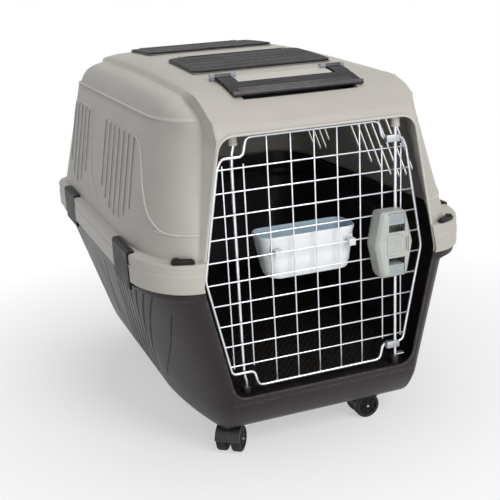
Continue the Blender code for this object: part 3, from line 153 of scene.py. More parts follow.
# Upper shell: an injection-moulded dome in warm light grey polypropylene. One wall runs from the
# rim band up to a ledge, over rounded shoulders and across a raised roof spine, and carries on
# forward into the deep hoop round the door. The tool leaves a fine grain and slow sink marks.
FRONT, REAR, SIDE = -0.401, 0.401, 0.3055
RIM_BOTTOM, RIM_TOP, LEDGE, SILL = 0.332, 0.381, 0.5925, 0.131
LIP_Y, DOOR_Y, WALL = -0.394, -0.369, 0.0035
OPENING_TOP, OPENING_VERTEX = 0.572, 0.340
HALF_AT_TOP, HALF_AT_VERTEX, HALF_AT_FOOT = 0.168, 0.2112, 0.166
SPINE_EDGE, SPINE_GROOVE, SPINE_STEP, ROOF_CROWN = 0.180, 0.0035, 0.007, 0.0115
RIM_FLANGE, DOME_TAPER, WALL_RISE = 0.0150, 0.26, LEDGE - RIM_TOP
RIM_STEP = 0.3620
FRONT_HOOP = [((0.055, 0.0), (0.0145, 0.002), (0.008, -0.0065)),
              ((0.0565, 0.002), (0.0205, 0.0055), (0.0165, -0.0005)),
              ((0.066, 0.012), (0.037, 0.0155), (0.037, 0.0105)),
              ((0.082, 0.022), (0.0575, 0.0265), (0.0615, 0.021)),
              ((0.1065, 0.029), (0.082, 0.036), (0.090, 0.0305)),
              ((0.135, 0.0315), (0.131, 0.0385), (0.135, 0.0415))]
BACK_HOOP = [((0.049, 0.0), (0.0445, 0.003), (0.041, 0.008)),
             ((0.0505, 0.002), (0.046, 0.0075), (0.043, 0.0145)),
             ((0.058, 0.0155), (0.053, 0.0225), (0.051, 0.0285)),
             ((0.070, 0.028), (0.064, 0.036), (0.063, 0.0405)),
             ((0.090, 0.037), (0.084, 0.046), (0.083, 0.0505)),
             ((0.118, 0.044), (0.114, 0.051), (0.118, 0.0575))]
SHOULDER_INSETS = [(0.0,), (0.004,), (0.009,), (0.017,), (0.029,), (0.052,)]
SHOULDER_FOLLOW = [(0.0,), (0.0,), (0.2,), (0.45,), (0.75,), (1.0,)]
CROSSING = (0.0, 0.16, 0.32, 0.48, 0.62, 0.74, 0.84, 0.91, 0.96, 1.0)
ROOF_START, ROOF_END = LIP_Y + 0.135, REAR - 0.118


def blend(a, b, share):
    """The value a share of the way from a to b."""
    return a + (b - a) * share


def between_knots(table, place):
    """Values of a table of equal rows at a place between two rows, on a smooth curve."""
    flat = [[v for pair in row for v in (pair if isinstance(pair, tuple) else (pair,))] for row in table]
    i = min(int(place), len(flat) - 2)
    t = place - i
    before, here, ahead, after = (flat[max(i - 1, 0)], flat[i], flat[i + 1],
                                  flat[min(i + 2, len(flat) - 1)])
    values = []
    for a, b, c, d in zip(before, here, ahead, after):
        values.append(b + 0.5 * t * (c - a + t * (2 * a - 5 * b + 4 * c - d + t * (3 * (b - c) + d - a))))
    return values


def turned_corner(flat, side, power, steps=18):
    """Points of a superelliptic plan corner, from a front or back flat to the side."""
    points = []
    for step in range(1, steps + 1):
        angle = math.pi / 2 * step / steps
        across = math.sin(angle) ** (2 / power)
        along = 1 - math.cos(angle) ** (2 / power) if step < steps else 1.0
        points.append((blend(flat[0], side[0], across), blend(flat[1], side[1], along)))
    return points


def half_plan(front_flat, side_x, front_depth, back_flat, back_depth, front_power):
    """Half of a level's plan, round both corners from the front flat to the back flat."""
    front = turned_corner(front_flat, (side_x, front_flat[1] + front_depth), front_power)
    back = turned_corner(back_flat, (side_x, back_flat[1] - back_depth), 2.4)
    side = [(side_x, blend(front[-1][1], back[-1][1], i / 14)) for i in range(1, 14)]
    return [front_flat] + front + side + back[::-1] + [back_flat]


def opening_half_width(height):
    """Half the door opening's width at a height above the floor."""
    if height > OPENING_VERTEX:
        share = (height - OPENING_VERTEX) / (OPENING_TOP - OPENING_VERTEX)
        return blend(HALF_AT_VERTEX, HALF_AT_TOP, min(share, 1.0))
    return blend(HALF_AT_VERTEX, HALF_AT_FOOT, min((OPENING_VERTEX - height) / (OPENING_VERTEX - SILL), 1.0))


def roof_height(y):
    """Height of the roof's middle line."""
    if y < ROOF_START:
        place = 0.0
        while place < 4.98 and LIP_Y + between_knots(FRONT_HOOP, place)[4] < y:
            place += 0.02
        return LEDGE + between_knots(FRONT_HOOP, place)[5]
    share = min(max((y - ROOF_START) / (ROOF_END - ROOF_START), 0.0), 1.0)
    return LEDGE + blend(0.0415, 0.0575, share) + ROOF_CROWN * max(math.sin(math.pi * share), 0.0) ** 0.8


def edge_height(y):
    """Height of the raised spine's edge."""
    share = min(max((y - ROOF_START) / (ROOF_END - ROOF_START), 0.0), 1.0)
    arch = max(math.sin(math.pi * share), 0.0) ** 0.8
    return roof_height(y) - blend(0.003, 0.0065, share) - 0.007 * arch


def crossing(centre, edge):
    """Points from the roof's middle line out to one edge of the spine."""
    return [(edge[0] * s, blend(centre[0], edge[1], s ** 2), blend(centre[1], edge[2], s ** 8))
            for s in CROSSING]


def dome_level(front, back, side_x, corners, lift=lambda y: 0.0):
    """Half of one level of the dome, from centre, edge and groove points at its two ends."""
    (centre, edge, groove), (back_centre, back_edge, back_groove) = front, back
    around = []
    for x, y in half_plan(groove[:2], side_x, corners[0], back_groove[:2], corners[1], 2.0):
        share = (y - groove[1]) / (back_groove[1] - groove[1])
        around.append((x, y, blend(groove[2], back_groove[2], share) + lift(y)))
    return crossing(centre, edge) + around + crossing(back_centre, back_edge)[::-1]


def rim_level(inset, height):
    """Half of a level round the rim band."""
    edge_x = opening_half_width(RIM_TOP) + WALL
    ends = [((y, height), (edge_x, y, height), (edge_x + 0.006, y, height))
            for y in (FRONT + inset, REAR - inset)]
    return dome_level(*ends, SIDE - inset, (0.144, 0.080))


def wall_level(height):
    """Half of a level of the leaning wall, from the rim up to the ledge."""
    share = (height - RIM_TOP) / WALL_RISE
    edge_x = opening_half_width(height) + WALL + 0.001
    groove_x = edge_x + blend(0.0025, SPINE_GROOVE, share)
    back_y = REAR - blend(0.012, 0.0445, share)
    front = ((LIP_Y, height), (edge_x, LIP_Y, height),
             (groove_x, LIP_Y + blend(0.0065, 0.055, share), height))
    back = ((back_y, height), (edge_x, back_y, height),
            (groove_x, REAR - blend(0.0145, 0.049, share), height))
    return dome_level(front, back, SIDE - RIM_FLANGE - DOME_TAPER * (height - RIM_TOP),
                      (blend(0.200, 0.130, share), blend(0.080, 0.030, share)))


def hoop_level(place):
    """Half of a level over the ledge, hoop and shoulders, from 0 at the ledge to 5 at the roof."""
    share = place / 5
    edge_x = blend(opening_half_width(OPENING_TOP) + WALL + 0.003, SPINE_EDGE, share)
    ends = []
    for table, start, sign in ((FRONT_HOOP, LIP_Y, 1), (BACK_HOOP, REAR, -1)):
        gy, gz, ey, ez, cy, cz = between_knots(table, place)
        ends.append(((start + sign * cy, LEDGE + cz), (edge_x, start + sign * ey, LEDGE + ez),
                     (edge_x + SPINE_GROOVE, start + sign * gy, LEDGE + gz)))
    side_x = SIDE - RIM_FLANGE - DOME_TAPER * WALL_RISE - between_knots(SHOULDER_INSETS, place)[0]
    follow = between_knots(SHOULDER_FOLLOW, place)[0]

    def lift(y):
        middle = min(max((y - ROOF_START) / (ROOF_END - ROOF_START), 0.0), 1.0)
        return follow * (edge_height(y) - SPINE_STEP - LEDGE - blend(0.0315, 0.044, middle))
    return dome_level(*ends, side_x, (blend(0.130, 0.040, share), blend(0.030, 0.040, share)), lift)


def roof_rows(bm, ring):
    """Closes the roof with rows that cross the spine from its middle to the groove."""
    reach = len(CROSSING)
    around, previous = ring[reach:-reach], ring[:reach]
    for i in range(1, len(around)):
        if i == len(around) - 1:
            row = ring[-reach:][::-1]
        else:
            y = around[i].co.y
            row = [bm.verts.new(point) for point in
                   crossing((y, roof_height(y)), (SPINE_EDGE, y, edge_height(y)))]
        for a, b, c, d in zip(previous, previous[1:], row[1:], row):
            bm.faces.new((a, b, c, d))
        bm.faces.new((previous[-1], around[i - 1], around[i], row[-1]))
        previous = row


def moulded_wall(name, levels, close, relief=None):
    """Skins the half levels, mirrors them, and thickens them inwards into one closed wall.

    The relief gives how far the outer face stands out at a level. Also returns a tree and the
    faces of the outer skin, which later hold the true normals and carry beads and ribs.
    """
    bm = bmesh.new()
    rows = [[bm.verts.new(point) for point in level] for level in levels]
    for lower, upper in zip(rows, rows[1:]):
        for i in range(len(lower) - 1):
            bm.faces.new((lower[i], lower[i + 1], upper[i + 1], upper[i]))
    close(bm, rows[-1])
    bmesh.ops.mirror(bm, geom=bm.verts[:] + bm.edges[:] + bm.faces[:], axis="X", merge_dist=0.0001)
    bmesh.ops.recalc_face_normals(bm, faces=bm.faces)
    if max(bm.faces, key=lambda face: face.calc_center_median().x).normal.x < 0:
        bmesh.ops.reverse_faces(bm, faces=bm.faces)
    bm.normal_update()
    bm.verts.index_update()
    outside, inside = [v.co.copy() for v in bm.verts], [v.co - v.normal * WALL for v in bm.verts]
    if relief:
        outside = [v.co + v.normal * relief(v.co) for v in bm.verts]
    faces = [[v.index for v in face.verts] for face in bm.faces]
    edges = [[v.index for v in edge.verts] for edge in bm.edges if len(edge.link_faces) == 1]
    count = len(outside)
    bm.free()
    solid = bmesh.new()
    verts = [solid.verts.new(co) for co in outside + inside]
    for face in faces:
        solid.faces.new([verts[i] for i in face])
        solid.faces.new([verts[i + count] for i in reversed(face)])
    for a, b in edges:
        solid.faces.new((verts[b], verts[a], verts[a + count], verts[b + count]))
    bmesh.ops.recalc_face_normals(solid, faces=solid.faces)
    piece = as_piece(name, solid, keep=True)
    skin = BVHTree.FromPolygons([tuple(v) for v in outside], faces)
    whole = bmesh.new()
    whole.from_mesh(piece.data)
    return piece, skin, whole


def as_piece(name, bm, keep=False):
    """Turns a mesh in the making into an object of the scene."""
    data = bpy.data.meshes.new(name)
    bm.to_mesh(data)
    bm.free()
    piece = bpy.data.objects.new(name, data)
    scene.collection.objects.link(piece)
    if not keep:
        data.shade_smooth()
        data.set_sharp_from_angle(angle=math.radians(38))
    return piece


def carve(piece, cutter_bm, crossing_cutters=False):
    """Cuts closed cutters out of a piece."""
    cutter = as_piece(piece.name + "_cutter", cutter_bm)
    step = piece.modifiers.new("openings", "BOOLEAN")
    step.operation = "DIFFERENCE"
    step.object = cutter
    step.solver = "EXACT"
    step.use_self = crossing_cutters
    bpy.context.view_layer.update()
    evaluated = piece.evaluated_get(bpy.context.evaluated_depsgraph_get())
    data = bpy.data.meshes.new_from_object(evaluated)
    piece.modifiers.clear()
    piece.data = data
    bpy.data.objects.remove(cutter, do_unlink=True)
    return data


def pierce(piece, whole, cutter_bm):
    """Cuts openings out of a wall, then gives it back its uncut normals."""
    data = carve(piece, cutter_bm, True)
    whole.normal_update()
    whole.faces.ensure_lookup_table()
    tree = BVHTree.FromBMesh(whole)
    normals = []
    for face in data.polygons:
        for index in face.loop_indices:
            point = data.vertices[data.loops[index].vertex_index].co
            place, flat, number, gap = tree.find_nearest(point)
            corners = whole.faces[number].verts
            weights = [1.0 / ((v.co - place).length + 0.00001) for v in corners]
            smooth = sum((v.normal * w for v, w in zip(corners, weights)), Vector()).normalized()
            share = (smooth.dot(face.normal) - 0.68) / 0.14 if gap < 0.0004 else 0.0
            normals.append(face.normal.lerp(smooth, min(max(share, 0.0), 1.0)).normalized())
    data.shade_smooth()
    data.normals_split_custom_set(normals)
    whole.free()


def joined(bm, rings):
    """Faces between closed rings of points, each ring to the next."""
    faces = []
    for low, high in zip(rings, rings[1:]):
        for i in range(len(low)):
            j = (i + 1) % len(low)
            faces.append(bm.faces.new((low[i], low[j], high[j], high[i])))
    return faces


def pushed_outline(bm, outline, axis, low, high):
    """Adds a flat outline, pushed along one axis, to a mesh in the making."""
    place = {"X": lambda u, v, w: (w, u, v), "Y": lambda u, v, w: (u, w, v),
             "Z": lambda u, v, w: (u, v, w)}[axis]
    near = [bm.verts.new(place(u, v, low)) for u, v in outline]
    far = [bm.verts.new(place(u, v, high)) for u, v in outline]
    faces = [bm.faces.new(near), bm.faces.new(far)] + joined(bm, [near, far])
    bmesh.ops.recalc_face_normals(bm, faces=faces)


def rounded(points, radii, steps=6):
    """A closed outline whose corners are arcs of the given radii."""
    outline = []
    for i, radius in enumerate(radii):
        here = Vector(points[i])
        before = (Vector(points[i - 1]) - here).normalized()
        after = (Vector(points[(i + 1) % len(points)]) - here).normalized()
        half = before.angle(after) / 2
        middle = here + (before + after).normalized() * radius / math.sin(half)
        start = here + before * radius / math.tan(half) - middle
        end = here + after * radius / math.tan(half) - middle
        turn = math.copysign(start.angle(end), start.cross(end))
        for step in range(steps + 1):
            outline.append(tuple(middle + Matrix.Rotation(turn * step / steps, 2) @ start))
    return outline


def rectangle(low_x, low_y, high_x, high_y):
    """The four corners of a rectangle."""
    return [(low_x, low_y), (high_x, low_y), (high_x, high_y), (low_x, high_y)]


def door_opening(grow=0.0):
    """The six-sided door opening, grown outwards by a little where a bead needs it."""
    top, middle, bottom = HALF_AT_TOP + grow, HALF_AT_VERTEX + grow, HALF_AT_FOOT + grow
    return rounded([(-bottom, SILL - grow), (bottom, SILL - grow), (middle, OPENING_VERTEX),
                    (top, OPENING_TOP + grow), (-top, OPENING_TOP + grow), (-middle, OPENING_VERTEX)],
                   [0.026 + grow, 0.026 + grow, 0.012, 0.026 + grow, 0.026 + grow, 0.012], 8)


SLOT_TOP, SLOT_LONG, SLOT_RISE, SLOT_PITCH = LEDGE - 0.038, 0.150, 0.030, 0.035
SIDE_VENTS, SLOT_LEAN = ((-0.094, 7), (0.2325, 5)), 0.30


def slot_places(middle, count):
    """The middle and the foot of each slot in a row; the feet rise towards both ends."""
    for i in range(count):
        place = 2 * i / (count - 1) - 1
        yield middle + place * SLOT_PITCH * (count - 1) / 2, SLOT_TOP - SLOT_LONG + SLOT_RISE * place ** 2


def vent_slots(middle, count, lean, width=0.008):
    """Outlines of a row of leaning slots."""
    outlines = []
    for across, foot in slot_places(middle, count):
        outline = rounded(rectangle(across - width / 2, foot, across + width / 2, SLOT_TOP),
                          [width * 0.45] * 4, 4)
        outlines.append([(u + lean * (z - SLOT_TOP + SLOT_LONG / 2), z) for u, z in outline])
    return outlines


levels = [rim_level(inset, height) for inset, height in
          ((0.0008, RIM_BOTTOM), (0.0, 0.3328), (0.0, 0.3350), (0.0, 0.3480), (0.0, 0.3608),
           (0.0, 0.3617), (0.0, 0.3626), (0.0, 0.3635), (0.0, 0.3700), (0.0, 0.3765), (0.0007, 0.3787),
           (0.0022, 0.3803), (0.0045, RIM_TOP), (0.0080, RIM_TOP))]
levels += [wall_level(blend(RIM_TOP, OPENING_TOP - 0.006, share)) for share in
           (0.0, 0.01, 0.03, 0.1, 0.2, 0.35, 0.5, 0.65, 0.8, 0.9, 1.0)]
levels += [hoop_level(place) for place in (0.0, 0.3, 0.6, 0.85, 1.1, 1.4, 1.7, 2.0, 2.35, 2.7, 3.0,
                                           3.35, 3.7, 4.0, 4.35, 4.7, 5.0)]


def rim_step(point):
    """The band's lower part stands a millimetre proud of its upper part."""
    return -0.0010 * min(1.0, (RIM_TOP - point.z) / 0.004) if RIM_STEP < point.z < RIM_TOP else 0.0


def on_side(skin, run, side=-1, lift=0.0):
    """Lays (y, z) points on a wall's left or right side."""
    laid = []
    for y, z, *rest in run:
        place, flat, number, gap = skin.ray_cast(Vector((side * 0.5, y, z)), Vector((-side, 0, 0)))
        if place:
            laid.append(place + Vector((side, 0, 0)) * lift)
    return laid


def sunk_slots(bm, middle, count, half, high, low):
    """Troughs laid along the slots of both sides, between two depths under the wall's skin."""
    slots = [(side, *place) for side in (-1, 1) for place in slot_places(middle, count)]
    for side, across, foot in slots:
        ladder = []
        for k in range(27):
            z = blend(foot, SLOT_TOP, 0.5 - 0.5 * math.cos(math.pi * k / 26))
            end = half - min(half, z - foot, SLOT_TOP - z)
            wide = max(math.sqrt(half ** 2 - end ** 2), half * 0.2)
            u = across + SLOT_LEAN * (z - SLOT_TOP + SLOT_LONG / 2)
            ladder.append(((u - wide, z), (u + wide, z)))
        near, far = [[[bm.verts.new(p) for p in on_side(dome_skin, pair, side, lift)] for pair in ladder]
                     for lift in (high, low)]
        for row, next_row, flip in ((near, near[1:], 1), (far, far[1:], -1)):
            for (a, b), (d, c) in zip(row, next_row):
                bm.faces.new((a, b, c, d)[::flip])
        for k in range(26):
            for j in (0, 1):
                bm.faces.new((near[k][j], near[k + 1][j], far[k + 1][j], far[k][j]))
        for k in (0, -1):
            bm.faces.new((near[k][0], near[k][1], far[k][1], far[k][0]))


dome, dome_skin, dome_whole = moulded_wall("dome_moulding", levels, roof_rows, rim_step)
holes = bmesh.new()
pushed_outline(holes, door_opening(), "Y", FRONT - 0.02, LIP_Y + 0.018)
for middle, count in SIDE_VENTS:
    for outline in vent_slots(middle, count, SLOT_LEAN):
        pushed_outline(holes, outline, "X", -SIDE, SIDE)
for middle, count in SIDE_VENTS:
    sunk_slots(holes, middle, count, 0.0068, 0.004, -0.0009)
    sunk_slots(holes, middle, count, 0.0110, -0.0022, -0.0120)
bmesh.ops.recalc_face_normals(holes, faces=holes.faces)
back_vents = vent_slots(0.0, 7, 0.0)
for outline in back_vents:
    pushed_outline(holes, outline, "Y", REAR - 0.06, REAR)
ABOVE_ROOF, LIDS = 0.68, {"front": (-0.170, 0.6564), "rear": (0.109, 0.65465)}
BIN_HALF, BIN_START, BIN_END = 0.119, 0.012, 0.148
for lid_y, pivot_z in LIDS.values():
    bin_hole = rectangle(-BIN_HALF, lid_y + BIN_START, BIN_HALF, lid_y + BIN_END)
    pushed_outline(holes, bin_hole, "Z", LEDGE, ABOVE_ROOF)
finger_hole = rectangle(-0.1016, -0.3276, 0.1016, -0.2824)
pushed_outline(holes, finger_hole, "Z", LEDGE + 0.012, ABOVE_ROOF)
CLIPS = {"front": -0.233, "rear": 0.212}
NOTCH_HALF, NOTCH_LOW, NOTCH_HIGH = 0.0526, 0.32, 0.395
for side in (-1, 1):
    for y in CLIPS.values():
        near, far = sorted((side * (SIDE - 0.011), side * (SIDE + 0.01)))
        notch = rectangle(near, y - NOTCH_HALF, far, y + NOTCH_HALF)
        pushed_outline(holes, notch, "Z", NOTCH_LOW, NOTCH_HIGH)
pierce(dome, dome_whole, holes)


def rod(bm, points, radius, closed=False, sides=10, dome=0.6):
    """Adds a round bead along a run of points, with domed ends where it is open."""
    points = [Vector(point) for point in points]
    count, up, rings = len(points), None, []
    for i, here in enumerate(points):
        ahead = points[(i + 1) % count] if closed else points[min(i + 1, count - 1)]
        behind = points[i - 1] if closed else points[max(i - 1, 0)]
        along = (ahead - behind).normalized()
        up = along.orthogonal() if up is None else up - along * up.dot(along)
        up.normalize()
        side = along.cross(up)
        ends = [(0.0, 1.0)]
        if not closed and i in (0, count - 1):
            ends = [(dome, 0.45), (dome * 0.6, 0.85), (0.0, 1.0)]
            ends = ends[::-1] if i else ends
        for reach, share in ends:
            middle = here + along * radius * reach * (1 if i else -1)
            ring = []
            for k in range(sides):
                angle = math.tau * k / sides
                spoke = up * math.cos(angle) + side * math.sin(angle)
                ring.append(bm.verts.new(middle + spoke * radius * share))
            rings.append(ring)
    faces = joined(bm, rings + rings[:1] if closed else rings)
    if not closed:
        faces += [bm.faces.new(rings[0][::-1]), bm.faces.new(rings[-1])]
    bmesh.ops.recalc_face_normals(bm, faces=faces)


def evenly(points, pitch, closed=False):
    """The same run of points, spaced evenly."""
    points = [Vector(point) for point in points]
    run = points + points[:1] if closed else points
    lengths = [0.0]
    for a, b in zip(run, run[1:]):
        lengths.append(lengths[-1] + (b - a).length)
    count = max(int(lengths[-1] / pitch), 2)
    spaced, i = [], 0
    for step in range(count + (0 if closed else 1)):
        want = lengths[-1] * step / count
        while i < len(run) - 2 and lengths[i + 1] < want:
            i += 1
        share = (want - lengths[i]) / max(lengths[i + 1] - lengths[i], 1e-9)
        spaced.append(run[i].lerp(run[i + 1], share))
    return spaced


def softened_run(points, rounds=2):
    """An open run of points with its corners cut round."""
    points = [Vector(point) for point in points]
    for _ in range(rounds):
        cut = [points[0]]
        for a, b in zip(points, points[1:]):
            cut += [a.lerp(b, 0.25), a.lerp(b, 0.75)]
        points = cut + [points[-1]]
    return points


def finish_group(name, inputs, outputs):
    """An empty node group with number inputs and number outputs."""
    tree = bpy.data.node_groups.new(name, "ShaderNodeTree")
    for label, value in inputs:
        socket = tree.interface.new_socket(label, in_out="INPUT", socket_type="NodeSocketFloat")
        socket.default_value = value
    for label in outputs:
        tree.interface.new_socket(label, in_out="OUTPUT", socket_type="NodeSocketFloat")
    return tree, tree.nodes.new("NodeGroupInput"), tree.nodes.new("NodeGroupOutput")


# The moulded finish, shared by every plastic piece: spark-eroded grain and pores, slow sink
# marks, edges rubbed pale, painted shade that darkens the hollows, and dust on top faces.
moulded, given, result = finish_group("moulded_surface", [
    ("Grain", 900.0), ("Sinks", 14.0), ("Edge", 0.0016)], (
    "Height", "Tone", "Wear", "Dust", "Speck", "Hollow shade"))
where = node_of(moulded, "TexCoord").outputs["Object"]
grain = node_of(moulded, "TexNoise", in_Detail=4.0, in_Roughness=0.62)
pores = node_of(moulded, "TexVoronoi")
sinks = node_of(moulded, "TexNoise", in_Detail=3.0, in_Roughness=0.5)
scuffs = node_of(moulded, "TexNoise", in_Scale=130.0, in_Detail=5.0, in_Roughness=0.7)
for texture in (grain, pores, sinks, scuffs):
    moulded.links.new(where, texture.inputs["Vector"])
moulded.links.new(given.outputs["Grain"], grain.inputs["Scale"])
moulded.links.new(sum_of(moulded, "MULTIPLY", given.outputs["Grain"], 0.45), pores.inputs["Scale"])
moulded.links.new(given.outputs["Sinks"], sinks.inputs["Scale"])
pitted = sum_of(moulded, "MULTIPLY", pores.outputs["Distance"], 0.5)
fine = sum_of(moulded, "ADD", grain.outputs["Fac"], pitted)
moulded.links.new(sum_of(moulded, "ADD", fine, sum_of(moulded, "MULTIPLY", sinks.outputs["Fac"], 1.6)),
                  result.inputs["Height"])
moulded.links.new(spread(moulded, sinks.outputs["Fac"], 0.34, 0.68), result.inputs["Tone"])
rubbed = node_of(moulded, "AmbientOcclusion", inside=True, samples=6)
moulded.links.new(given.outputs["Edge"], rubbed.inputs["Distance"])
bare = spread(moulded, rubbed.outputs["AO"], 0.93, 0.55)
# Painted shade: ambient occlusion marks the hollows and creases, where the tone is darkened.
hollow = node_of(moulded, "AmbientOcclusion", samples=6, in_Distance=0.014)
moulded.links.new(spread(moulded, hollow.outputs["AO"], 0.82, 0.30), result.inputs["Hollow shade"])
broken = spread(moulded, scuffs.outputs["Fac"], 0.36, 0.60)
moulded.links.new(sum_of(moulded, "MULTIPLY", bare, broken), result.inputs["Wear"])
facing = node_of(moulded, "SeparateXYZ")
moulded.links.new(node_of(moulded, "NewGeometry").outputs["Normal"], facing.inputs[0])
upward = spread(moulded, facing.outputs["Z"], 0.25, 1.0)
settled = spread(moulded, scuffs.outputs["Fac"], 0.42, 0.72)
moulded.links.new(sum_of(moulded, "MULTIPLY", upward, settled), result.inputs["Dust"])
moulded.links.new(spread(moulded, grain.outputs["Fac"], 0.38, 0.66), result.inputs["Speck"])


def mixed(tree, kind, share, first, second):
    """Mixes two colours by a share, which may be a link or a number."""
    made = node_of(tree, "Mix", data_type="RGBA", blend_type=kind)
    for slot, value in ((made.inputs[0], share), (made.inputs[6], first), (made.inputs[7], second)):
        if isinstance(value, tuple):
            slot.default_value = (*value, 1.0)
        elif isinstance(value, float):
            slot.default_value = value
        else:
            tree.links.new(value, slot)
    return made.outputs[2]


def plastic(name, dark, light, pale, rough, grain=900.0, sinks=14.0, depth=0.0004, strength=0.35,
            edge=0.0016, wear=0.5, dust=0.12, coat=0.0, speck=0.25, hollow_shade=0.5, shine=0.5):
    """A moulded plastic: its darkest and lightest tone, and the pale tone of rubbed edges."""
    made, tree, shader = new_material(name)
    shader.inputs["Coat Weight"].default_value = coat
    shader.inputs["Specular IOR Level"].default_value = shine
    shader.inputs["Coat Roughness"].default_value = 0.25
    surface = node_of(tree, "Group", node_tree=moulded, in_Grain=grain, in_Sinks=sinks, in_Edge=edge)
    out = surface.outputs
    tone = mixed(tree, "MIX", out["Tone"], dark, light)
    tone = mixed(tree, "MIX", sum_of(tree, "MULTIPLY", out["Speck"], speck), tone,
                 tuple(c * 0.86 for c in dark))
    # Painted shade: in hollows the tone is darkened towards a third of the darkest tone.
    tone = mixed(tree, "MIX", sum_of(tree, "MULTIPLY", out["Hollow shade"], hollow_shade), tone,
                 tuple(c * 0.30 for c in dark))
    tone = mixed(tree, "MIX", sum_of(tree, "MULTIPLY", out["Wear"], wear), tone, pale)
    tone = mixed(tree, "MIX", sum_of(tree, "MULTIPLY", out["Dust"], dust), tone, (0.50, 0.46, 0.40))
    tree.links.new(tone, shader.inputs["Base Color"])
    dull = spread(tree, out["Tone"], 0.0, 1.0, rough - 0.05, rough + 0.05)
    dull = sum_of(tree, "ADD", dull, sum_of(tree, "MULTIPLY", out["Dust"], 0.16))
    tree.links.new(dull, shader.inputs["Roughness"])
    bump = node_of(tree, "Bump", in_Strength=strength, in_Distance=depth)
    tree.links.new(out["Height"], bump.inputs["Height"])
    tree.links.new(bump.outputs["Normal"], shader.inputs["Normal"])
    return made


def dress(piece, body, finish, *materials):
    """Paints a piece and lets it ride on its body; the finish is not used."""
    for material in materials:
        piece.data.materials.append(material)
    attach(piece, body)


dome_grey = plastic("dome plastic", (0.480, 0.458, 0.420), (0.525, 0.504, 0.466), (0.66, 0.64, 0.61), 0.46,
                    grain=820.0, sinks=9.0, depth=0.00035, wear=0.25, dust=0.05, hollow_shade=0.55,
                    shine=0.42)
dress(dome, "crate", "dome_plastic", dome_grey)
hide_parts("upper_shell")

# Beads moulded with the dome's wall: a raised border round each vent slot, lines along the
# ledge and the rim's step, one bead that frames each vent panel and one round the doorway.
trim = bmesh.new()
for outline in [outline for row in SIDE_VENTS for outline in vent_slots(*row, SLOT_LEAN, 0.0150)]:
    for side in (-1, 1):
        loop = on_side(dome_skin, evenly([(u, v, 0) for u, v in outline], 0.003, True), side)
        rod(trim, evenly(loop, 0.003, True), 0.0013, True, 8)
for outline in back_vents:
    loop = []
    for u, v in outline:
        place = dome_skin.ray_cast(Vector((u, 0.6, v)), Vector((0, -1, 0)))[0]
        loop.append(place)
    rod(trim, evenly(loop, 0.004, True), 0.0017, True, 8)
# A crisp line on the ledge, and a fainter one over the shoulder.
reach = len(CROSSING)
for place, sink, radius in ((0.12, 0.0003, 0.0022), (1.15, 0.0010, 0.0014)):
    shelf_line = [Vector(point) for point in hoop_level(place)[reach + 2:-reach - 2]]
    for side in (-1, 1):
        run = [Vector((side * (p.x - sink), p.y, p.z - sink * 0.4)) for p in shelf_line]
        rod(trim, evenly(run, 0.008), radius)
# The bead on the rim's step, painted light as a highlight line, broken at the clips.
line_z, line_inset = RIM_STEP + 0.0004, 0.0011
band_line = [Vector(point) for point in rim_level(line_inset, line_z)[reach:-reach]]
line_ends = [-0.40] + [y + way * 0.054 for y in CLIPS.values() for way in (-1, 1)] + [0.40]
for low_y, high_y in zip(line_ends[::2], line_ends[1::2]):
    for side in (-1, 1):
        run = [Vector((side * p.x, p.y, p.z)) for p in band_line if low_y < p.y < high_y]
        ends = [y for y in (low_y, high_y) if abs(y) < 0.39]
        run += [Vector((side * (SIDE - line_inset), y, line_z)) for y in ends]
        rod(trim, evenly(sorted(run, key=lambda p: p.y), 0.008), 0.0009, sides=8)
# The beads that frame the vent panels; the front one turns the corner towards the hoop.
front_bead = [(-0.180, 0.5530), (-0.195, 0.5513), (-0.219, 0.5446), (-0.232, 0.522), (-0.245, 0.4994),
              (-0.260, 0.474), (-0.2755, 0.4537), (-0.288, 0.442), (-0.3004, 0.4343), (-0.3246, 0.4228),
              (-0.3446, 0.4202), (-0.3640, 0.4205)]
rear_bead = [(0.300, 0.5587), (0.2258, 0.5587), (0.161, 0.555), (0.150, 0.530), (0.135, 0.493),
             (0.0985, 0.442), (0.054, 0.4167), (0.020, 0.409)]
for run in (front_bead, rear_bead):
    for side in (-1, 1):
        laid = on_side(dome_skin, softened_run([(y, z, 0) for y, z in run]), side)
        if run is front_bead:
            for x in (0.262, 0.250, 0.238, 0.226, 0.214, 0.205):
                start = Vector((side * x, -0.7, 0.4210))
                laid.append(dome_skin.ray_cast(start, Vector((0, 1, 0)))[0])
        rod(trim, evenly(laid, 0.005), 0.0021)
# The bead round the upper part of the doorway.
seam_z = RIM_BOTTOM + 0.0008
seam_x = opening_half_width(seam_z) + 0.0012
bead_run = [(x, z) for x, z in door_opening(0.0012) if z > RIM_BOTTOM + 0.002]
bead_run = [(seam_x, seam_z)] + bead_run + [(-seam_x, seam_z)]
rod(trim, evenly([(x, LIP_Y + 0.0003, z) for x, z in bead_run], 0.006), 0.0021)
hoop_trim = as_piece("dome_beads", trim)
# Painted highlight: the beads, the rod sockets and the handle's tongue take this lighter copy of the dome's
# plastic, for the light on their rounded edges.
dome_grey_painted_light = plastic("dome plastic painted light", (0.56, 0.54, 0.50), (0.60, 0.58, 0.54), (0.70, 0.68, 0.65),
                         0.44, grain=820.0, depth=0.0002, wear=0.2, dust=0.04)
dress(hoop_trim, "crate", "dome_plastic", dome_grey_painted_light)

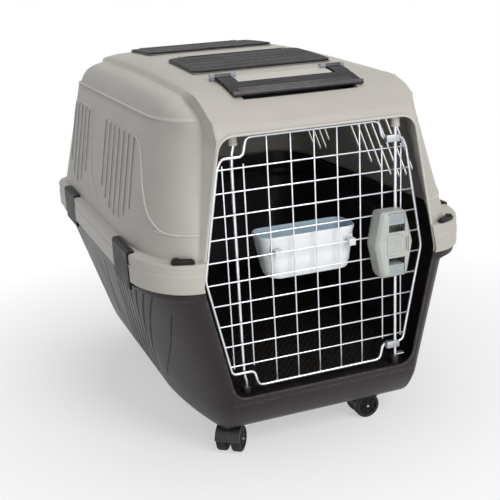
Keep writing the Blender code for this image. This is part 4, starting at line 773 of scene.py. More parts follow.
# Rod sockets: two collared sockets hang under the hoop and hold the tops of the door's rods.
# They are moulded with the dome, and a small web ties each one to the hoop.
sockets = bmesh.new()
HINGE_X, HINGE_Y, BOLT_X, BOLT_Y = -0.137, -0.3633, 0.144, -0.3762
for x, y in ((HINGE_X, HINGE_Y), (BOLT_X, BOLT_Y)):
    rod(sockets, [(x, y, z) for z in (0.5535, 0.557, 0.570, 0.582)], 0.0070, sides=24, dome=0.05)
    rod(sockets, [(x, y, 0.5555), (x, y, 0.5570)], 0.0079, sides=24, dome=0.1)
    rod(sockets, [(x, y + 0.006, 0.566), (x, y + 0.012, 0.580)], 0.0022, sides=8)
rod_sockets = as_piece("door_rod_sockets", sockets)
# Painted highlight: the sockets take the lighter copy of the dome's plastic.
dress(rod_sockets, "crate", "dome_plastic", dome_grey_painted_light)

# Lower shell: a deep charcoal tub moulded in one piece. A thin tongue stands up inside the
# dome's rim, a collar band fills out under it, and the walls taper to a rounded foot. Leaning
# flutes on both sides stiffen the wall.
COLLAR_BOTTOM, COLLAR_SET, SIDE_TAPER, BACK_TAPER = RIM_BOTTOM - 0.016, 0.0105, 0.29, 0.20
TUB_FOOT = [(0.0, 0.0, 0.0), (0.026, 0.006, 0.0), (0.051, 0.020, 0.001), (0.065, 0.032, 0.006),
            (0.074, 0.045, 0.015)]


def band_level(inset, height, front_inset):
    """Half of a level that follows the rim at an inset."""
    front_y, back_y, flat_x = FRONT + front_inset, REAR - inset, opening_half_width(RIM_TOP) + 0.0095
    around = half_plan((flat_x, front_y), SIDE - inset, 0.144, (flat_x, back_y), 0.080, 2.0)
    plan = [(0.0, front_y), (flat_x / 2, front_y)] + around + [(flat_x / 2, back_y), (0.0, back_y)]
    return [(x, y, height) for x, y in plan]


def tub_level(height, setback=0.0, tuck=0.0):
    """Half of a level of the tub's tapering wall and its rounded foot."""
    side_x = SIDE - COLLAR_SET - SIDE_TAPER * (COLLAR_BOTTOM - height) - tuck
    back_y = REAR - COLLAR_SET - BACK_TAPER * (COLLAR_BOTTOM - height) - tuck
    flat_x = min(opening_half_width(height) + 0.006, side_x - 0.03)
    front_y = LIP_Y + setback
    around = half_plan((flat_x, front_y), side_x, 0.210, (flat_x, back_y), 0.120, 1.6)
    plan = [(0.0, front_y), (flat_x / 2, front_y)] + around + [(flat_x / 2, back_y), (0.0, back_y)]
    return [(x, y, height) for x, y in plan]


def tub_floor(bm, ring):
    """The flat bottom, closed with rows across the tub."""
    half = len(ring) // 2
    for i in range(half):
        a, b, c, d = ring[i], ring[i + 1], ring[-2 - i], ring[-1 - i]
        bm.faces.new((a, b, c, d) if len({a, b, c, d}) == 4 else (a, b, d))


levels = [band_level(*level) for level in (
    (0.0155, 0.3743, 0.007), (0.0155, 0.3560, 0.007), (0.0155, 0.3370, 0.007),
    (0.0150, 0.3362, 0.0065), (0.0062, 0.3360, 0.0048), (0.0055, 0.3352, 0.0045),
    (0.0055, 0.3270, 0.0045), (0.0055, 0.3212, 0.0045), (0.0062, 0.3200, 0.0050))]
levels += [tub_level(COLLAR_BOTTOM - 0.0030), tub_level(COLLAR_BOTTOM - 0.0050)]
levels += [tub_level(blend(COLLAR_BOTTOM - 0.005, SILL, share)) for share in
           (0.04, 0.1, 0.2, 0.35, 0.5, 0.65, 0.8, 0.92)]
for place in (0.0, 0.35, 0.7, 1.0, 1.3, 1.6, 2.0, 2.3, 2.6, 3.0, 3.25, 3.5, 3.75, 4.0):
    drop, setback, tuck = between_knots(TUB_FOOT, place)
    levels.append(tub_level(SILL - drop, setback, tuck))
tub, tub_skin, tub_whole = moulded_wall("tub_moulding", levels, tub_floor)
holes = bmesh.new()
pushed_outline(holes, door_opening(), "Y", FRONT - 0.02, LIP_Y + 0.018)
flutes = [([(top, 0.312), (top + 0.060, 0.238), (top + 0.119, 0.164), (top + 0.178, 0.090)], 0.0034)
          for top in (-0.119, -0.145, -0.171, -0.197, -0.223, -0.249, -0.276, -0.304)]
flutes += [([(0.006, 0.285), (0.046, 0.236), (0.088, 0.184), (0.130, 0.130)], 0.0034),
           ([(-0.334, 0.278), (-0.298, 0.212), (-0.255, 0.164), (-0.2155, 0.121)], 0.0026)]
for run, radius in flutes:
    for side in (-1, 1):
        laid = on_side(tub_skin, softened_run([(y, z, 0) for y, z in run]), side, radius * 0.35)
        rod(holes, evenly(laid, 0.008), radius, sides=10)
pierce(tub, tub_whole, holes)
tub_charcoal = plastic("tub plastic", (0.026, 0.020, 0.022), (0.036, 0.030, 0.032), (0.14, 0.13, 0.13), 0.42,
                       grain=760.0, sinks=8.0, depth=0.00045, strength=0.45, wear=0.40, dust=0.03,
                       hollow_shade=0.7, shine=0.26)
dress(tub, "crate", "tub_plastic", tub_charcoal)
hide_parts("lower_shell")

# The tub's own bead round the lower part of the doorway, and the shelf inside the sill
# that carries the two rod bushes.
trim = bmesh.new()
seam_z = RIM_BOTTOM - 0.0008
seam_x = opening_half_width(seam_z) + 0.0012
bead_run = [(x, z) for x, z in door_opening(0.0012) if z < 0.25]
bead_run = [(-seam_x, seam_z)] + bead_run + [(seam_x, seam_z)]
rod(trim, evenly([(x, LIP_Y + 0.0004, z) for x, z in bead_run], 0.006), 0.0017)
shelf = rounded(rectangle(-0.175, LIP_Y + 0.0035, 0.175, DOOR_Y + 0.026), [0.004] * 4)
pushed_outline(trim, shelf, "Z", 0.1177, 0.1227)
for x in (-0.155, -0.100, -0.050, 0.0, 0.050, 0.100, 0.162):
    pushed_outline(trim, rounded(rectangle(x - 0.0015, LIP_Y + 0.004, x + 0.0015, DOOR_Y + 0.020),
                                 [0.0007] * 4, 2), "Z", 0.1220, 0.1262)
sill_trim = as_piece("sill_bead_and_shelf", trim)
dress(sill_trim, "crate", "tub_plastic", tub_charcoal)

# Floor tray: a charcoal plate dropped into the tub on long ribs, with rows of raised
# dashes that give the animal a grip.
treads = bmesh.new()
TREADS_START, TREADS_END, ROW_PITCH, DASH_PITCH, BUSH_CLEAR = -0.350, 0.330, 0.0085, 0.014, 0.018
DASH_LONG, DASH_WIDE = 0.0042, 0.0011
row, y = 0, TREADS_START
while y < TREADS_END:
    half_row = 0.190 if y > -0.300 else 0.150
    x = -half_row + (DASH_PITCH / 2 if row % 2 else 0.0)
    while x < half_row:
        to_bush = min(math.hypot(x - HINGE_X, y - HINGE_Y), math.hypot(x - BOLT_X, y - BOLT_Y))
        if to_bush >= BUSH_CLEAR:
            dash = rounded(rectangle(x - DASH_LONG, y - DASH_WIDE, x + DASH_LONG, y + DASH_WIDE),
                           [0.0008] * 4, 1)
            inner = [(x + (u - x) * 0.86, y + (v - y) * 0.6) for u, v in dash]
            rings = [[treads.verts.new((u, v, z)) for u, v in ring]
                     for ring, z in ((dash, 0.1268), (dash, 0.1275), (inner, 0.1281))]
            joined(treads, rings)
            treads.faces.new(rings[-1])
        x += DASH_PITCH
    y += ROW_PITCH
    row += 1
tray_treads = as_piece("tray_treads", treads)
tray_charcoal = plastic("tray plastic", (0.010, 0.009, 0.008), (0.015, 0.013, 0.012), (0.07, 0.065, 0.06),
                        0.62, grain=900.0, wear=0.25, dust=0.01, shine=0.08)
dress(tray_treads, "crate", "tub_plastic", tray_charcoal)


def paint_node(node, *materials):
    """Gives a carried-over solid its finish."""
    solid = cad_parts[node]
    for i, material in enumerate(materials):
        if i < len(solid.material_slots):
            solid.material_slots[i].link = "OBJECT"
            solid.material_slots[i].material = material


paint_node("floor_tray", tray_charcoal)

# Side clips and turn-locks: charcoal nylon. Each clip grips the rim's flange over a notch and
# swings out on a pin line under the collar. The turn-locks are thumb levers on a stub through
# the rim's top.


def rolled_edges(piece, width, segments, angle, harden=True):
    """Rounds the edges that turn by more than an angle."""
    edges = piece.modifiers.new("rounded edges", "BEVEL")
    edges.width, edges.segments, edges.limit_method = width, segments, "ANGLE"
    edges.angle_limit, edges.harden_normals = math.radians(angle), harden
    return edges


def rounded_copy(node, name, width, segments=3, angle=28.0, carving=None):
    """A copy of a node's own solid, carved where a cutter is given, with its edges rounded off."""
    bm = bmesh.new()
    bm.from_mesh(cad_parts[node].data)
    bmesh.ops.remove_doubles(bm, verts=bm.verts, dist=0.00001)
    bmesh.ops.dissolve_limit(bm, angle_limit=math.radians(0.6), verts=bm.verts, edges=bm.edges)
    piece = as_piece(name, bm)
    if carving:
        carve(piece, carving)
    rolled_edges(piece, width, segments, angle).miter_outer = "MITER_ARC"
    return piece


clip_black = plastic("clip nylon", (0.007, 0.006, 0.006), (0.012, 0.010, 0.010), (0.09, 0.08, 0.08), 0.48,
                     grain=1100.0, sinks=30.0, depth=0.0003, edge=0.0020, wear=0.40, dust=0.01,
                     shine=0.16)
lock_black = plastic("lock nylon", (0.008, 0.008, 0.008), (0.014, 0.013, 0.012), (0.10, 0.09, 0.08), 0.42,
                     grain=1100.0, sinks=40.0, edge=0.0016, wear=0.40, dust=0.02, shine=0.2)
LOCK_HUBS, LOCK_BASE = {"front": (0.248, -0.3785), "rear": (0.262, 0.3843)}, 0.3871
for end, clip_y in CLIPS.items():
    for side, side_name in ((-1, "left"), (1, "right")):
        node = f"{end}_{side_name}_clip"
        clip = rounded_copy(node, node + "_moulding", 0.0011)
        dress(clip, node, "lid_plastic", clip_black)
        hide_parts(node)
        ribs = bmesh.new()
        for z in (0.3245, 0.3285, 0.3325):
            rod(ribs, [(side * 0.3048, clip_y + y, z) for y in (-0.040, 0, 0.040)], 0.0006, sides=8)
        frame_line = rounded(rectangle(clip_y - 0.046, 0.339, clip_y + 0.046, 0.3765), [0.004] * 4)
        rod(ribs, evenly([(side * 0.3047, u, v) for u, v in frame_line], 0.005, True), 0.0007, True, 8)
        rod(ribs, [(side * 0.2945, clip_y + y, 0.3849) for y in (-0.044, 0.044)], 0.0008, sides=8)
        grip = as_piece(node + "_grip", ribs)
        dress(grip, node, "lid_plastic", clip_black)
        node = f"{end}_{side_name}_lock"
        lever = rounded_copy(node, node + "_moulding", 0.0012)
        dress(lever, node, "lid_plastic", lock_black)
        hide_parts(node)
        low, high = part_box(node)
        hub_x, hub_y = LOCK_HUBS[end]
        hub = Vector((side * hub_x, hub_y, LOCK_BASE))
        middle = Vector(((low.x + high.x) / 2, (low.y + high.y) / 2, LOCK_BASE))
        along = (middle - hub).normalized()
        thumb = bmesh.new()
        rod(thumb, [hub - Vector((0, 0, 0.003)), Vector((hub.x, hub.y, high.z + 0.0022))], 0.0058,
            sides=20, dome=0.25)
        ridge = Vector((0, 0, high.z - hub.z))
        rod(thumb, [hub + along * 0.004 + ridge, hub + along * 0.026 + ridge], 0.0022, sides=12)
        circle = [Vector((math.cos(a), math.sin(a), 0)) for a in [math.tau * k / 20 for k in range(20)]]
        rod(thumb, [hub + spoke * 0.0052 for spoke in circle], 0.0006, True, 8)
        thumb_rib = as_piece(node + "_thumb_rib", thumb)
        dress(thumb_rib, node, "lid_plastic", lock_black)

# Roof lids and storage bins: two grey bins drop through the roof and hang by a flange. Each is
# closed by a charcoal lid, arched like the roof, with low cross ribs, a rolled edge and a
# finger notch, and it swings on a steel pin at its back edge.
lid_charcoal = plastic("lid plastic", (0.010, 0.010, 0.011), (0.015, 0.014, 0.016), (0.10, 0.10, 0.11), 0.50,
                       grain=980.0, sinks=9.0, depth=0.0002, edge=0.0018, wear=0.30, dust=0.01,
                       speck=0.10, shine=0.16)
bin_grey = plastic("bin plastic", (0.24, 0.235, 0.225), (0.29, 0.28, 0.27), (0.42, 0.41, 0.40), 0.5,
                   wear=0.4, dust=0.10)


def roof_plate(name, low_x, high_x, low_y, high_y, corner, rise, thick):
    """An arched plate as a grid cut to rounded corners, thickened, with its top edge rolled."""
    bm = bmesh.new()
    columns, rows = 44, 40
    grid = []
    for j in range(rows + 1):
        y = blend(low_y, high_y, j / rows)
        inset = 0.0
        for end in (y - low_y, high_y - y):
            if end < corner:
                inset = corner - math.sqrt(max(corner ** 2 - (corner - end) ** 2, 0.0))
        z = roof_height(y) + rise + thick
        grid.append([bm.verts.new((blend(low_x + inset, high_x - inset, i / columns), y, z))
                     for i in range(columns + 1)])
    for low, high in zip(grid, grid[1:]):
        for a, b, c, d in zip(low, low[1:], high[1:], high):
            bm.faces.new((a, b, c, d))
    bmesh.ops.recalc_face_normals(bm, faces=bm.faces)
    if bm.faces[0].normal.z < 0:
        bmesh.ops.reverse_faces(bm, faces=bm.faces)
    piece = as_piece(name, bm)
    wall = piece.modifiers.new("thickness", "SOLIDIFY")
    wall.thickness = thick
    wall.offset = -1.0
    rolled_edges(piece, min(thick * 0.42, 0.0016), 3, 50)
    return piece


for label, (start_y, pivot_z) in LIDS.items():
    end_y = start_y + 0.160
    lid = roof_plate(label + "_lid_plate", -0.131, 0.131, start_y, end_y, 0.016, 0.0022, 0.0029)
    dress(lid, label + "_lid", "lid_plastic", lid_charcoal)
    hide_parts(label + "_lid")
    ribs = bmesh.new()
    for step in (3, 6, 9, 12):
        y = start_y + 0.010 * step
        z = roof_height(y) + 0.0045
        rod(ribs, [(x, y, z) for x in (-0.119, -0.06, 0.0, 0.06, 0.119)], 0.0011, sides=10)
    border = rounded(rectangle(-0.1265, start_y + 0.0045, 0.1265, end_y - 0.0045), [0.0125] * 4)
    border = [(p.x, p.y, roof_height(p.y) + 0.0049) for p in
              evenly([(u, v, 0) for u, v in border], 0.005, True)]
    rod(ribs, border, 0.0005, True, 8)
    notch = rounded(rectangle(-0.014, start_y + 0.0030, 0.014, start_y + 0.0085), [0.0025] * 4)
    rod(ribs, [(u, v, roof_height(v) + 0.0048) for u, v in notch], 0.0007, True, 8)
    barrel_y = end_y + 0.00135
    rod(ribs, [(-0.0978, barrel_y, pivot_z), (0.0978, barrel_y, pivot_z)], 0.0027, sides=20, dome=0.1)
    lid_ribs = as_piece(label + "_lid_ribs", ribs)
    dress(lid_ribs, label + "_lid", "lid_plastic", lid_charcoal)
    paint_node(label + "_bin", bin_grey)

# Carry handle: a charcoal strap plate with a rolled front lip. Its two arms swing on short steel
# pins between lugs on the roof, and a pocket under its front edge, painted near black as the
# shade under the handle, gives room for fingers.
HANDLE_LOW, PIVOT_Y, PIVOT_Z, ARM_NEAR, ARM_FAR = -0.320, -0.230, 0.6436, 0.088, 0.115
handle_top = roof_plate("handle_plate", -0.115, 0.115, HANDLE_LOW + 0.001, HANDLE_LOW + 0.0478, 0.004,
                        0.0018, 0.0050)
handle_charcoal = plastic("handle plastic", (0.009, 0.008, 0.010), (0.016, 0.014, 0.017), (0.14, 0.13, 0.15),
                        0.44, grain=980.0, sinks=9.0, depth=0.0002, edge=0.0022, wear=0.4,
                        speck=0.10, dust=0.02, shine=0.12)
dress(handle_top, "handle", "lid_plastic", handle_charcoal)
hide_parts("carry_handle")
arms = bmesh.new()
lip_z = roof_height(HANDLE_LOW) + 0.0060
rod(arms, [(x, HANDLE_LOW + 0.001, lip_z) for x in (-0.1146, -0.05, 0.05, 0.1146)], 0.0042,
    sides=20, dome=0.1)
for side in (-1, 1):
    rod(arms, [(side * x, PIVOT_Y, PIVOT_Z) for x in (ARM_NEAR + 0.0002, ARM_FAR - 0.0002)], 0.0045,
        sides=24, dome=0.05)
for y in (HANDLE_LOW + 0.010, HANDLE_LOW + 0.0145, HANDLE_LOW + 0.019):
    rod(arms, [(x, y, roof_height(y) + 0.0067) for x in (-0.100, -0.03, 0.03, 0.100)], 0.0007, sides=8)
handle_arms = as_piece("handle_lip_and_knuckles", arms)
# Painted highlight: the lip, the knuckles and the grip ribs take a lighter, glossier copy of the handle's
# plastic, for the light on the rolled lip.
handle_plastic_painted_light = plastic("handle plastic painted light", (0.030, 0.026, 0.032), (0.042, 0.037, 0.046), (0.18, 0.16, 0.19),
                     0.30, grain=980.0, edge=0.0022, wear=0.5, dust=0.02)
dress(handle_arms, "handle", "lid_plastic", handle_plastic_painted_light)
for side, side_name in ((-1, "left"), (1, "right")):
    near, far = sorted((side * ARM_NEAR, side * ARM_FAR))
    arm = roof_plate(side_name + "_handle_arm", near, far, HANDLE_LOW + 0.0470, PIVOT_Y - 0.001, 0.002,
                     0.0018, 0.0050)
    dress(arm, "handle", "lid_plastic", handle_charcoal)

# Finger pocket and lugs: the pocket is a cup let into the roof, painted near black as the shade
# under the handle, with a tongue over its back in the lighter copy of the dome's plastic; two pairs
# of lugs stand on the roof and hold the handle's pins, painted blue grey as a reflection of the sky.
# Painted shade: the pocket is painted near black for the shade that falls under the handle.
pocket_painted_shade = plastic("pocket plastic painted shade", (0.030, 0.029, 0.031), (0.038, 0.037, 0.040), (0.12, 0.12, 0.12),
                       0.5, wear=0.3, dust=0.08)
paint_node("handle_pocket", pocket_painted_shade)
tongue = roof_plate("handle_tongue", -0.0865, 0.0865, -0.2705, -0.2260, 0.006, -0.0010, 0.0050)
dress(tongue, "crate", "dome_plastic", dome_grey_painted_light)
lugs = bmesh.new()
LUG_LOW, LUG_HIGH, LUG_TOP = -0.2355, -0.2245, 0.6482
for side in (-1, 1):
    for near, far in ((0.0782, 0.0873), (0.1157, 0.1228)):
        low, high = sorted((side * near, side * far))
        profile = rounded([(LUG_LOW, roof_height(LUG_LOW) - 0.001), (LUG_HIGH, roof_height(LUG_HIGH) - 0.001),
                           (LUG_HIGH, LUG_TOP), (LUG_LOW, LUG_TOP)], [0.0005, 0.0005, 0.0035, 0.0035], 5)
        pushed_outline(lugs, profile, "X", low, high)
handle_lugs = as_piece("handle_lugs", lugs)
# Painted reflection: the lugs are the dome's plastic painted blue grey for the sky glinting off their glossy
# barrels.
lug_painted_sky_reflection = plastic("lug plastic painted sky reflection", (0.24, 0.28, 0.30), (0.30, 0.34, 0.37), (0.46, 0.50, 0.53), 0.40,
                   wear=0.3, dust=0.03)
dress(handle_lugs, "crate", "dome_plastic", lug_painted_sky_reflection)

# Door: zinc-plated steel wire. A bent frame carries welded uprights and cross wires that stop
# in short stubs, and a cranked rod on the hinge side turns in the hoop's socket and a bush.
steel, given, result = finish_group("plated_wire", [("Streaks", 260.0)], ("Height", "Tone", "Spots"))
where = node_of(steel, "TexCoord").outputs["Object"]
streaks = node_of(steel, "TexNoise", in_Detail=3.0)
cloudy = node_of(steel, "TexNoise", in_Scale=46.0, in_Detail=4.0)
specks = node_of(steel, "TexNoise", in_Scale=620.0, in_Detail=2.0)
for texture in (streaks, cloudy, specks):
    steel.links.new(where, texture.inputs["Vector"])
steel.links.new(given.outputs["Streaks"], streaks.inputs["Scale"])
steel.links.new(sum_of(steel, "ADD", streaks.outputs["Fac"], specks.outputs["Fac"]), result.inputs["Height"])
steel.links.new(spread(steel, cloudy.outputs["Fac"], 0.35, 0.65), result.inputs["Tone"])
steel.links.new(spread(steel, specks.outputs["Fac"], 0.66, 0.74), result.inputs["Spots"])


def plated(name, dark, light, rough):
    """Zinc plating: cloudy bright and dull patches, fine drawn streaks and a few dark specks."""
    made, tree, shader = new_material(name)
    shader.inputs["Metallic"].default_value = 0.85
    out = node_of(tree, "Group", node_tree=steel).outputs
    tone = mixed(tree, "MIX", out["Tone"], dark, light)
    tone = mixed(tree, "MIX", sum_of(tree, "MULTIPLY", out["Spots"], 0.4), tone, (0.30, 0.29, 0.28))
    tree.links.new(tone, shader.inputs["Base Color"])
    tree.links.new(spread(tree, out["Tone"], 0.0, 1.0, rough + 0.10, rough), shader.inputs["Roughness"])
    bump = node_of(tree, "Bump", in_Strength=0.25, in_Distance=0.0001)
    tree.links.new(out["Height"], bump.inputs["Height"])
    tree.links.new(bump.outputs["Normal"], shader.inputs["Normal"])
    return made


bright_zinc = plated("bright zinc", (0.74, 0.77, 0.83), (0.90, 0.92, 0.96), 0.26)
dull_zinc = plated("dull zinc", (0.46, 0.48, 0.50), (0.62, 0.64, 0.66), 0.40)
FRAME_CORNERS = [(0.117, 0.565, 0.009), (0.1235, 0.535, 0.008), (0.160, 0.535, 0.008),
                 (0.168, 0.519, 0.012), (0.199, 0.340, 0.030), (0.1635, 0.1665, 0.008),
                 (0.1235, 0.1665, 0.008), (0.117, 0.138, 0.009)]
STACK, WIRE, WIRE_PITCH = 0.00084, 0.0014, 0.041


def frame_half_width(height):
    """Half the wire frame's width at a height above the floor."""
    for (x0, z0, r0), (x1, z1, r1) in zip(FRAME_CORNERS, FRAME_CORNERS[1:]):
        if z1 <= height <= z0:
            return blend(x0, x1, (height - z0) / (z1 - z0))


wires = bmesh.new()
path = [(x, z) for x, z, r in FRAME_CORNERS]
bends = [r for x, z, r in FRAME_CORNERS]
path = rounded(path + [(-x, z) for x, z in reversed(path)], bends + bends[::-1], 6)
rod(wires, evenly([(x, DOOR_Y, z) for x, z in path], 0.006, True), 0.0026, True, 14)
cross_heights = [0.182 + i * 0.112 / 3 for i in range(10)]
for i in range(-2, 3):
    x = i * WIRE_PITCH
    rod(wires, [(x, DOOR_Y + STACK, z) for z in (0.1363, 0.35, 0.5667)], WIRE, sides=12)
for x in (0.123, 0.159):
    for side in (-1, 1):
        rod(wires, [(side * x, DOOR_Y + STACK, z) for z in (0.1772, 0.35, 0.5228)], WIRE, sides=12)
for z in cross_heights:
    half = frame_half_width(z) + 0.0012
    rod(wires, [(x, DOOR_Y - STACK, z) for x in (-half, 0, half)], WIRE, sides=12)
door_wires = as_piece("door_wires", wires)
dress(door_wires, "door", "plated_steel", bright_zinc)
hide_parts("door_grille")
welds = bmesh.new()
crossings = [(i * WIRE_PITCH, z) for i in range(-3, 4) for z in cross_heights]
crossings += [(side * 0.159, z) for side in (-1, 1) for z in cross_heights]
crossings += [(side * frame_half_width(z), z) for side in (-1, 1) for z in cross_heights]
for x, z in crossings:
    place = Matrix.Translation((x, DOOR_Y, z))
    bmesh.ops.create_icosphere(welds, subdivisions=1, radius=0.0016, matrix=place)
weld_spots = as_piece("door_welds", welds)
dress(weld_spots, "door", "plated_steel", dull_zinc)

rods = bmesh.new()
hinge_path = [(x, HINGE_Y, z) for x, z in (
    (HINGE_X, 0.5615), (HINGE_X, 0.553), (HINGE_X, 0.5485), (-0.141, 0.5385), (-0.141, 0.45),
    (-0.141, 0.30), (-0.141, 0.1600), (-0.1368, 0.1495), (HINGE_X, 0.140), (HINGE_X, 0.1268))]
rod(rods, evenly(softened_run(hinge_path), 0.006), 0.0028, sides=14)
hinge = as_piece("hinge_rod_steel", rods)
dress(hinge, "door", "plated_steel", bright_zinc)
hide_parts("hinge_rod")
for node in ("upper_rod", "lower_rod"):
    bolt = rounded_copy(node, node + "_steel", 0.0004, 2, 40.0)
    dress(bolt, node.replace("rod", "bolt"), "plated_steel", bright_zinc)
    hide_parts(node)
for node in ("upper_guide", "lower_guide"):
    guide = rounded_copy(node, node + "_steel", 0.0006, 2, 40.0)
    dress(guide, "door", "plated_steel", dull_zinc)
    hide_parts(node)
bush_black = plastic("bush nylon", (0.028, 0.027, 0.027), (0.040, 0.038, 0.037), (0.18, 0.17, 0.17), 0.45,
                     wear=0.5)
for node in ("hinge_bush", "bolt_bush"):
    bush = rounded_copy(node, node + "_moulding", 0.0008, 3, 40.0)
    dress(bush, "crate", "tub_plastic", bush_black)
    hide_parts(node)
for node in ("front_lid_pin", "rear_lid_pin", "left_handle_pin", "right_handle_pin"):
    paint_node(node, bright_zinc)

# Latch: two moulded halves in pale greenish grey, clamped round the door's wires. A grooved
# thumb pad fills the middle, and two ribbed slides in their windows draw the bolts.
latch_green = plastic("latch plastic", (0.455, 0.480, 0.445), (0.520, 0.545, 0.510), (0.68, 0.70, 0.67), 0.36,
                      grain=1200.0, sinks=36.0, depth=0.0002, edge=0.0018, wear=0.35, dust=0.03)
carving = bmesh.new()
FACE_Y = -0.4008
pad = [(0.1150, 0.3395), (0.1390, 0.3395), (0.1480, 0.3480), (0.1500, 0.3580), (0.1480, 0.3680),
       (0.1390, 0.3765), (0.1150, 0.3765)]
pad = rounded(pad, [0.003, 0.006, 0.006, 0.008, 0.006, 0.006, 0.003], 4)
rod(carving, evenly([(x, FACE_Y, z) for x, z in pad], 0.003, True), 0.0011, True, 8)
for i in range(5):
    z = 0.3470 + i * 0.0055
    rod(carving, [(x, FACE_Y, z) for x in (0.1185, 0.130, 0.1425)], 0.0008, sides=8)
for x in (0.1525, 0.1555):
    pushed_outline(carving, rounded(rectangle(x - 0.0007, 0.3440, x + 0.0007, 0.3720), [0.0006] * 4, 2),
                   "Y", -0.4030, -0.3985)
latch = rounded_copy("latch_front", "latch_front_moulding", 0.0009, 3, 26.0, carving)
dress(latch, "door", "latch_plastic", latch_green)
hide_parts("latch_front")
back = rounded_copy("latch_back", "latch_back_moulding", 0.0010, 3, 40.0)
dress(back, "door", "latch_plastic", latch_green)
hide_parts("latch_back")
slide_blue = plastic("slide plastic", (0.36, 0.40, 0.42), (0.43, 0.47, 0.49), (0.62, 0.65, 0.66), 0.38,
                     grain=1200.0, sinks=36.0, edge=0.0014, wear=0.4, dust=0.03)
SLIDE_Y = -0.3996
for node, body, middle in (("upper_slider", "upper_bolt", 0.4026), ("lower_slider", "lower_bolt", 0.3134)):
    carving = bmesh.new()
    for i in range(-2, 3):
        z = middle + i * 0.0030
        rod(carving, [(x, SLIDE_Y, z) for x in (0.1215, 0.134, 0.1465)], 0.0008, sides=8)
    slide = rounded_copy(node, node + "_moulding", 0.0007, 2, 40.0, carving)
    dress(slide, body, "latch_plastic", slide_blue)
    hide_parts(node)
screws = bmesh.new()
for x, z in [(x, z) for z in (0.3100, 0.4060) for x in (0.1135, 0.1490)]:
    rod(screws, [(x, -0.3632, z), (x, -0.3622, z)], 0.0024, sides=18, dome=0.15)
latch_screws = as_piece("latch_screws", screws)
dress(latch_screws, "door", "plated_steel", dull_zinc)

# Feeding bowl: a tapered trough with a thick rolled rim and a stacking step near its foot, white
# outside and pale blue inside. Two white hooks hang it over a cross wire inside the door.


def bowl_level(bm, height, tuck, corner):
    """A ring of points round the trough."""
    half = 0.088 - tuck
    outline = rounded(rectangle(-0.004 - half, -0.357 + tuck * 0.2, -0.004 + half, -0.287 - tuck),
                      [corner] * 4, 8)
    return [bm.verts.new((x, y, height)) for x, y in outline]


trough = bmesh.new()
rings = [bowl_level(trough, *level) for level in (
    (0.3170, 0.0185, 0.016), (0.3174, 0.0160, 0.018), (0.3190, 0.0136, 0.019), (0.3215, 0.0124, 0.020),
    (0.3290, 0.0114, 0.020), (0.3298, 0.0100, 0.0205), (0.3450, 0.0078, 0.021), (0.3650, 0.0044, 0.0215),
    (0.3842, 0.0014, 0.022), (0.3848, 0.0002, 0.022), (0.3880, 0.0, 0.022), (0.3898, 0.0003, 0.022),
    (0.3907, 0.0010, 0.0215), (0.39097, 0.0019, 0.0205), (0.3905, 0.0028, 0.0195), (0.3890, 0.0033, 0.019),
    (0.3830, 0.0038, 0.019), (0.3450, 0.0104, 0.0185), (0.3260, 0.0140, 0.0175), (0.3215, 0.0158, 0.016),
    (0.3200, 0.0195, 0.014))]
RIM_RING = 12
for face in joined(trough, rings)[RIM_RING * len(rings[0]):]:
    face.material_index = 1
trough.faces.new(rings[0])
trough.faces.new(rings[-1]).material_index = 1
bmesh.ops.recalc_face_normals(trough, faces=trough.faces)
bowl = as_piece("bowl_trough", trough)
bowl_white = plastic("bowl outer skin", (0.84, 0.88, 0.90), (0.90, 0.93, 0.94), (0.95, 0.96, 0.97), 0.30,
                     grain=1300.0, sinks=20.0, depth=0.0002, strength=0.2, edge=0.0016, wear=0.2, dust=0.02,
                     coat=0.2, speck=0.05, hollow_shade=0.3)
bowl_blue = plastic("bowl plastic", (0.40, 0.55, 0.66), (0.47, 0.61, 0.71), (0.66, 0.76, 0.83), 0.30,
                    grain=1300.0, sinks=20.0, depth=0.0002, strength=0.2, edge=0.0016, wear=0.35, dust=0.03,
                    coat=0.2, speck=0.08)
dress(bowl, "bowl", "bowl_plastic", bowl_white, bowl_blue)
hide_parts("feeder_bowl")
hooks = bmesh.new()
NEAR, FAR, SHELF, DROP, THICK = -0.3562, -0.37154, 0.37037, 0.36067, 0.0026
hook_view = rounded([(NEAR, SHELF), (FAR, SHELF), (FAR, DROP), (FAR - THICK, DROP),
                     (FAR - THICK, SHELF + THICK), (NEAR, SHELF + THICK)],
                    [0.0003, 0.0003, 0.0009, 0.0012, 0.0020, 0.0003], 4)
foot_view = rounded(rectangle(-0.3578, SHELF - 0.012, -0.3552, SHELF + 0.006), [0.0008] * 4, 3)
for x in (-0.071, 0.064):
    pushed_outline(hooks, hook_view, "X", x - 0.006, x + 0.006)
    pushed_outline(hooks, foot_view, "X", x - 0.008, x + 0.008)
bowl_hooks = as_piece("bowl_hooks", hooks)
rolled_edges(bowl_hooks, 0.0006, 2, 50, harden=False)
hook_white = plastic("hook plastic", (0.72, 0.74, 0.74), (0.80, 0.82, 0.82), (0.88, 0.89, 0.90), 0.36,
                     grain=1300.0, wear=0.3, dust=0.04, speck=0.08)
dress(bowl_hooks, "bowl", "bowl_plastic", hook_white)

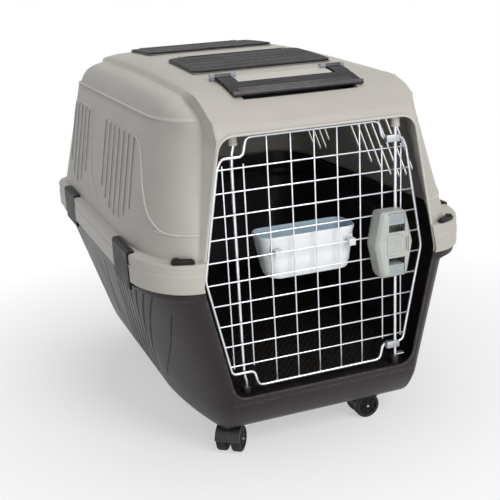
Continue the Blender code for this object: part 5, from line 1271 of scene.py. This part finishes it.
# Castors: four twin-wheel castors in black nylon. A round plate and stem hold a hooded fork
# that swivels, and each fork carries an axle with two rubber-tyred wheels.
castor_black = plastic("castor nylon", (0.007, 0.006, 0.006), (0.013, 0.011, 0.012), (0.10, 0.09, 0.09), 0.42,
                       grain=1100.0, sinks=40.0, edge=0.0016, wear=0.45, dust=0.02, shine=0.14)
hood_charcoal = plastic("hood nylon", (0.020, 0.018, 0.020), (0.030, 0.027, 0.030), (0.17, 0.16, 0.17), 0.38,
                      grain=1100.0, sinks=40.0, edge=0.0016, wear=0.45, dust=0.05, shine=0.42)
tyre_rubber = plastic("tyre rubber", (0.014, 0.013, 0.013), (0.022, 0.021, 0.020), (0.10, 0.095, 0.09), 0.72,
                      grain=1500.0, sinks=60.0, depth=0.0003, edge=0.0026, wear=0.5, dust=0.14, shine=0.36)
HUB = [(0.0028, 0.0018), (0.0060, 0.0018), (0.0066, 0.0006), (0.0092, 0.0006), (0.0100, 0.0020),
       (0.0160, 0.0024), (0.0168, 0.0010)]
TYRE = [(0.0180, 0.0003), (0.0205, 0.0003), (0.0226, 0.0012), (0.0237, 0.0028), (0.0240, 0.0050),
        (0.0240, 0.0082), (0.0236, 0.0088), (0.0236, 0.0097), (0.0240, 0.0103), (0.0240, 0.0135),
        (0.0237, 0.0157), (0.0226, 0.0173), (0.0205, 0.0182), (0.0028, 0.0182)]


WHEEL_WIDE, SPOKES = 0.0185, 6


def wheel(name, start, out, place, heading):
    """One turned wheel; the profile's face side looks along the way out."""
    bm = bmesh.new()
    segments, profile, rings = 44, HUB + TYRE, []
    turn = Matrix.Translation(place) @ Matrix.Rotation(heading, 4, "Z")
    for k in range(segments):
        angle = math.tau * k / segments
        ring = []
        for radius, along in profile:
            x = start + (along if out < 0 else WHEEL_WIDE - along)
            ring.append(bm.verts.new(turn @ Vector((x, radius * math.sin(angle), radius * math.cos(angle)))))
        rings.append(ring)
    for number, face in enumerate(joined(bm, rings + rings[:1])):
        face.material_index = 1 if len(HUB) <= number % len(profile) < len(profile) - 1 else 0
    for k in range(SPOKES):
        angle = math.tau * k / SPOKES
        face_x = start + (0.0019 if out < 0 else WHEEL_WIDE - 0.0019)
        spoke = [turn @ Vector((face_x, r * math.sin(angle), r * math.cos(angle)))
                 for r in (0.0095, 0.013, 0.0165)]
        rod(bm, spoke, 0.0011, sides=8)
    bmesh.ops.recalc_face_normals(bm, faces=bm.faces)
    return as_piece(name, bm)


CASTOR_X, TRAIL, AXLE_Z = 0.142, 0.026, 0.024
for end, y in (("front", -0.302), ("rear", 0.250)):
    for side, side_name, heading in ((-1, "left", math.radians(143)), (1, "right", math.radians(90))):
        name = f"{end}_{side_name}"
        pivot_point = Vector((side * CASTOR_X, y, 0.0))
        fork = rounded_copy(name + "_fork", name + "_fork_moulding", 0.0008, 2, 32.0)
        dress(fork, name + "_fork", "castor_plastic", hood_charcoal)
        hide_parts(name + "_fork")
        mount = rounded_copy(name + "_mount", name + "_mount_moulding", 0.0006, 2, 40.0)
        dress(mount, "crate", "castor_plastic", castor_black)
        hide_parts(name + "_mount")
        paint_node(name + "_axle", dull_zinc)
        centre = pivot_point + Matrix.Rotation(heading, 3, "Z") @ Vector((0, TRAIL, AXLE_Z))
        for label, start, out in (("a", -0.0231, -1), ("b", 0.0046, 1)):
            tyre = wheel(f"{name}_tyre_{label}", start, out, centre, heading)
            dress(tyre, f"{name}_wheel_{label}", "wheel_rubber", castor_black, tyre_rubber)
            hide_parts(f"{name}_wheel_{label}")
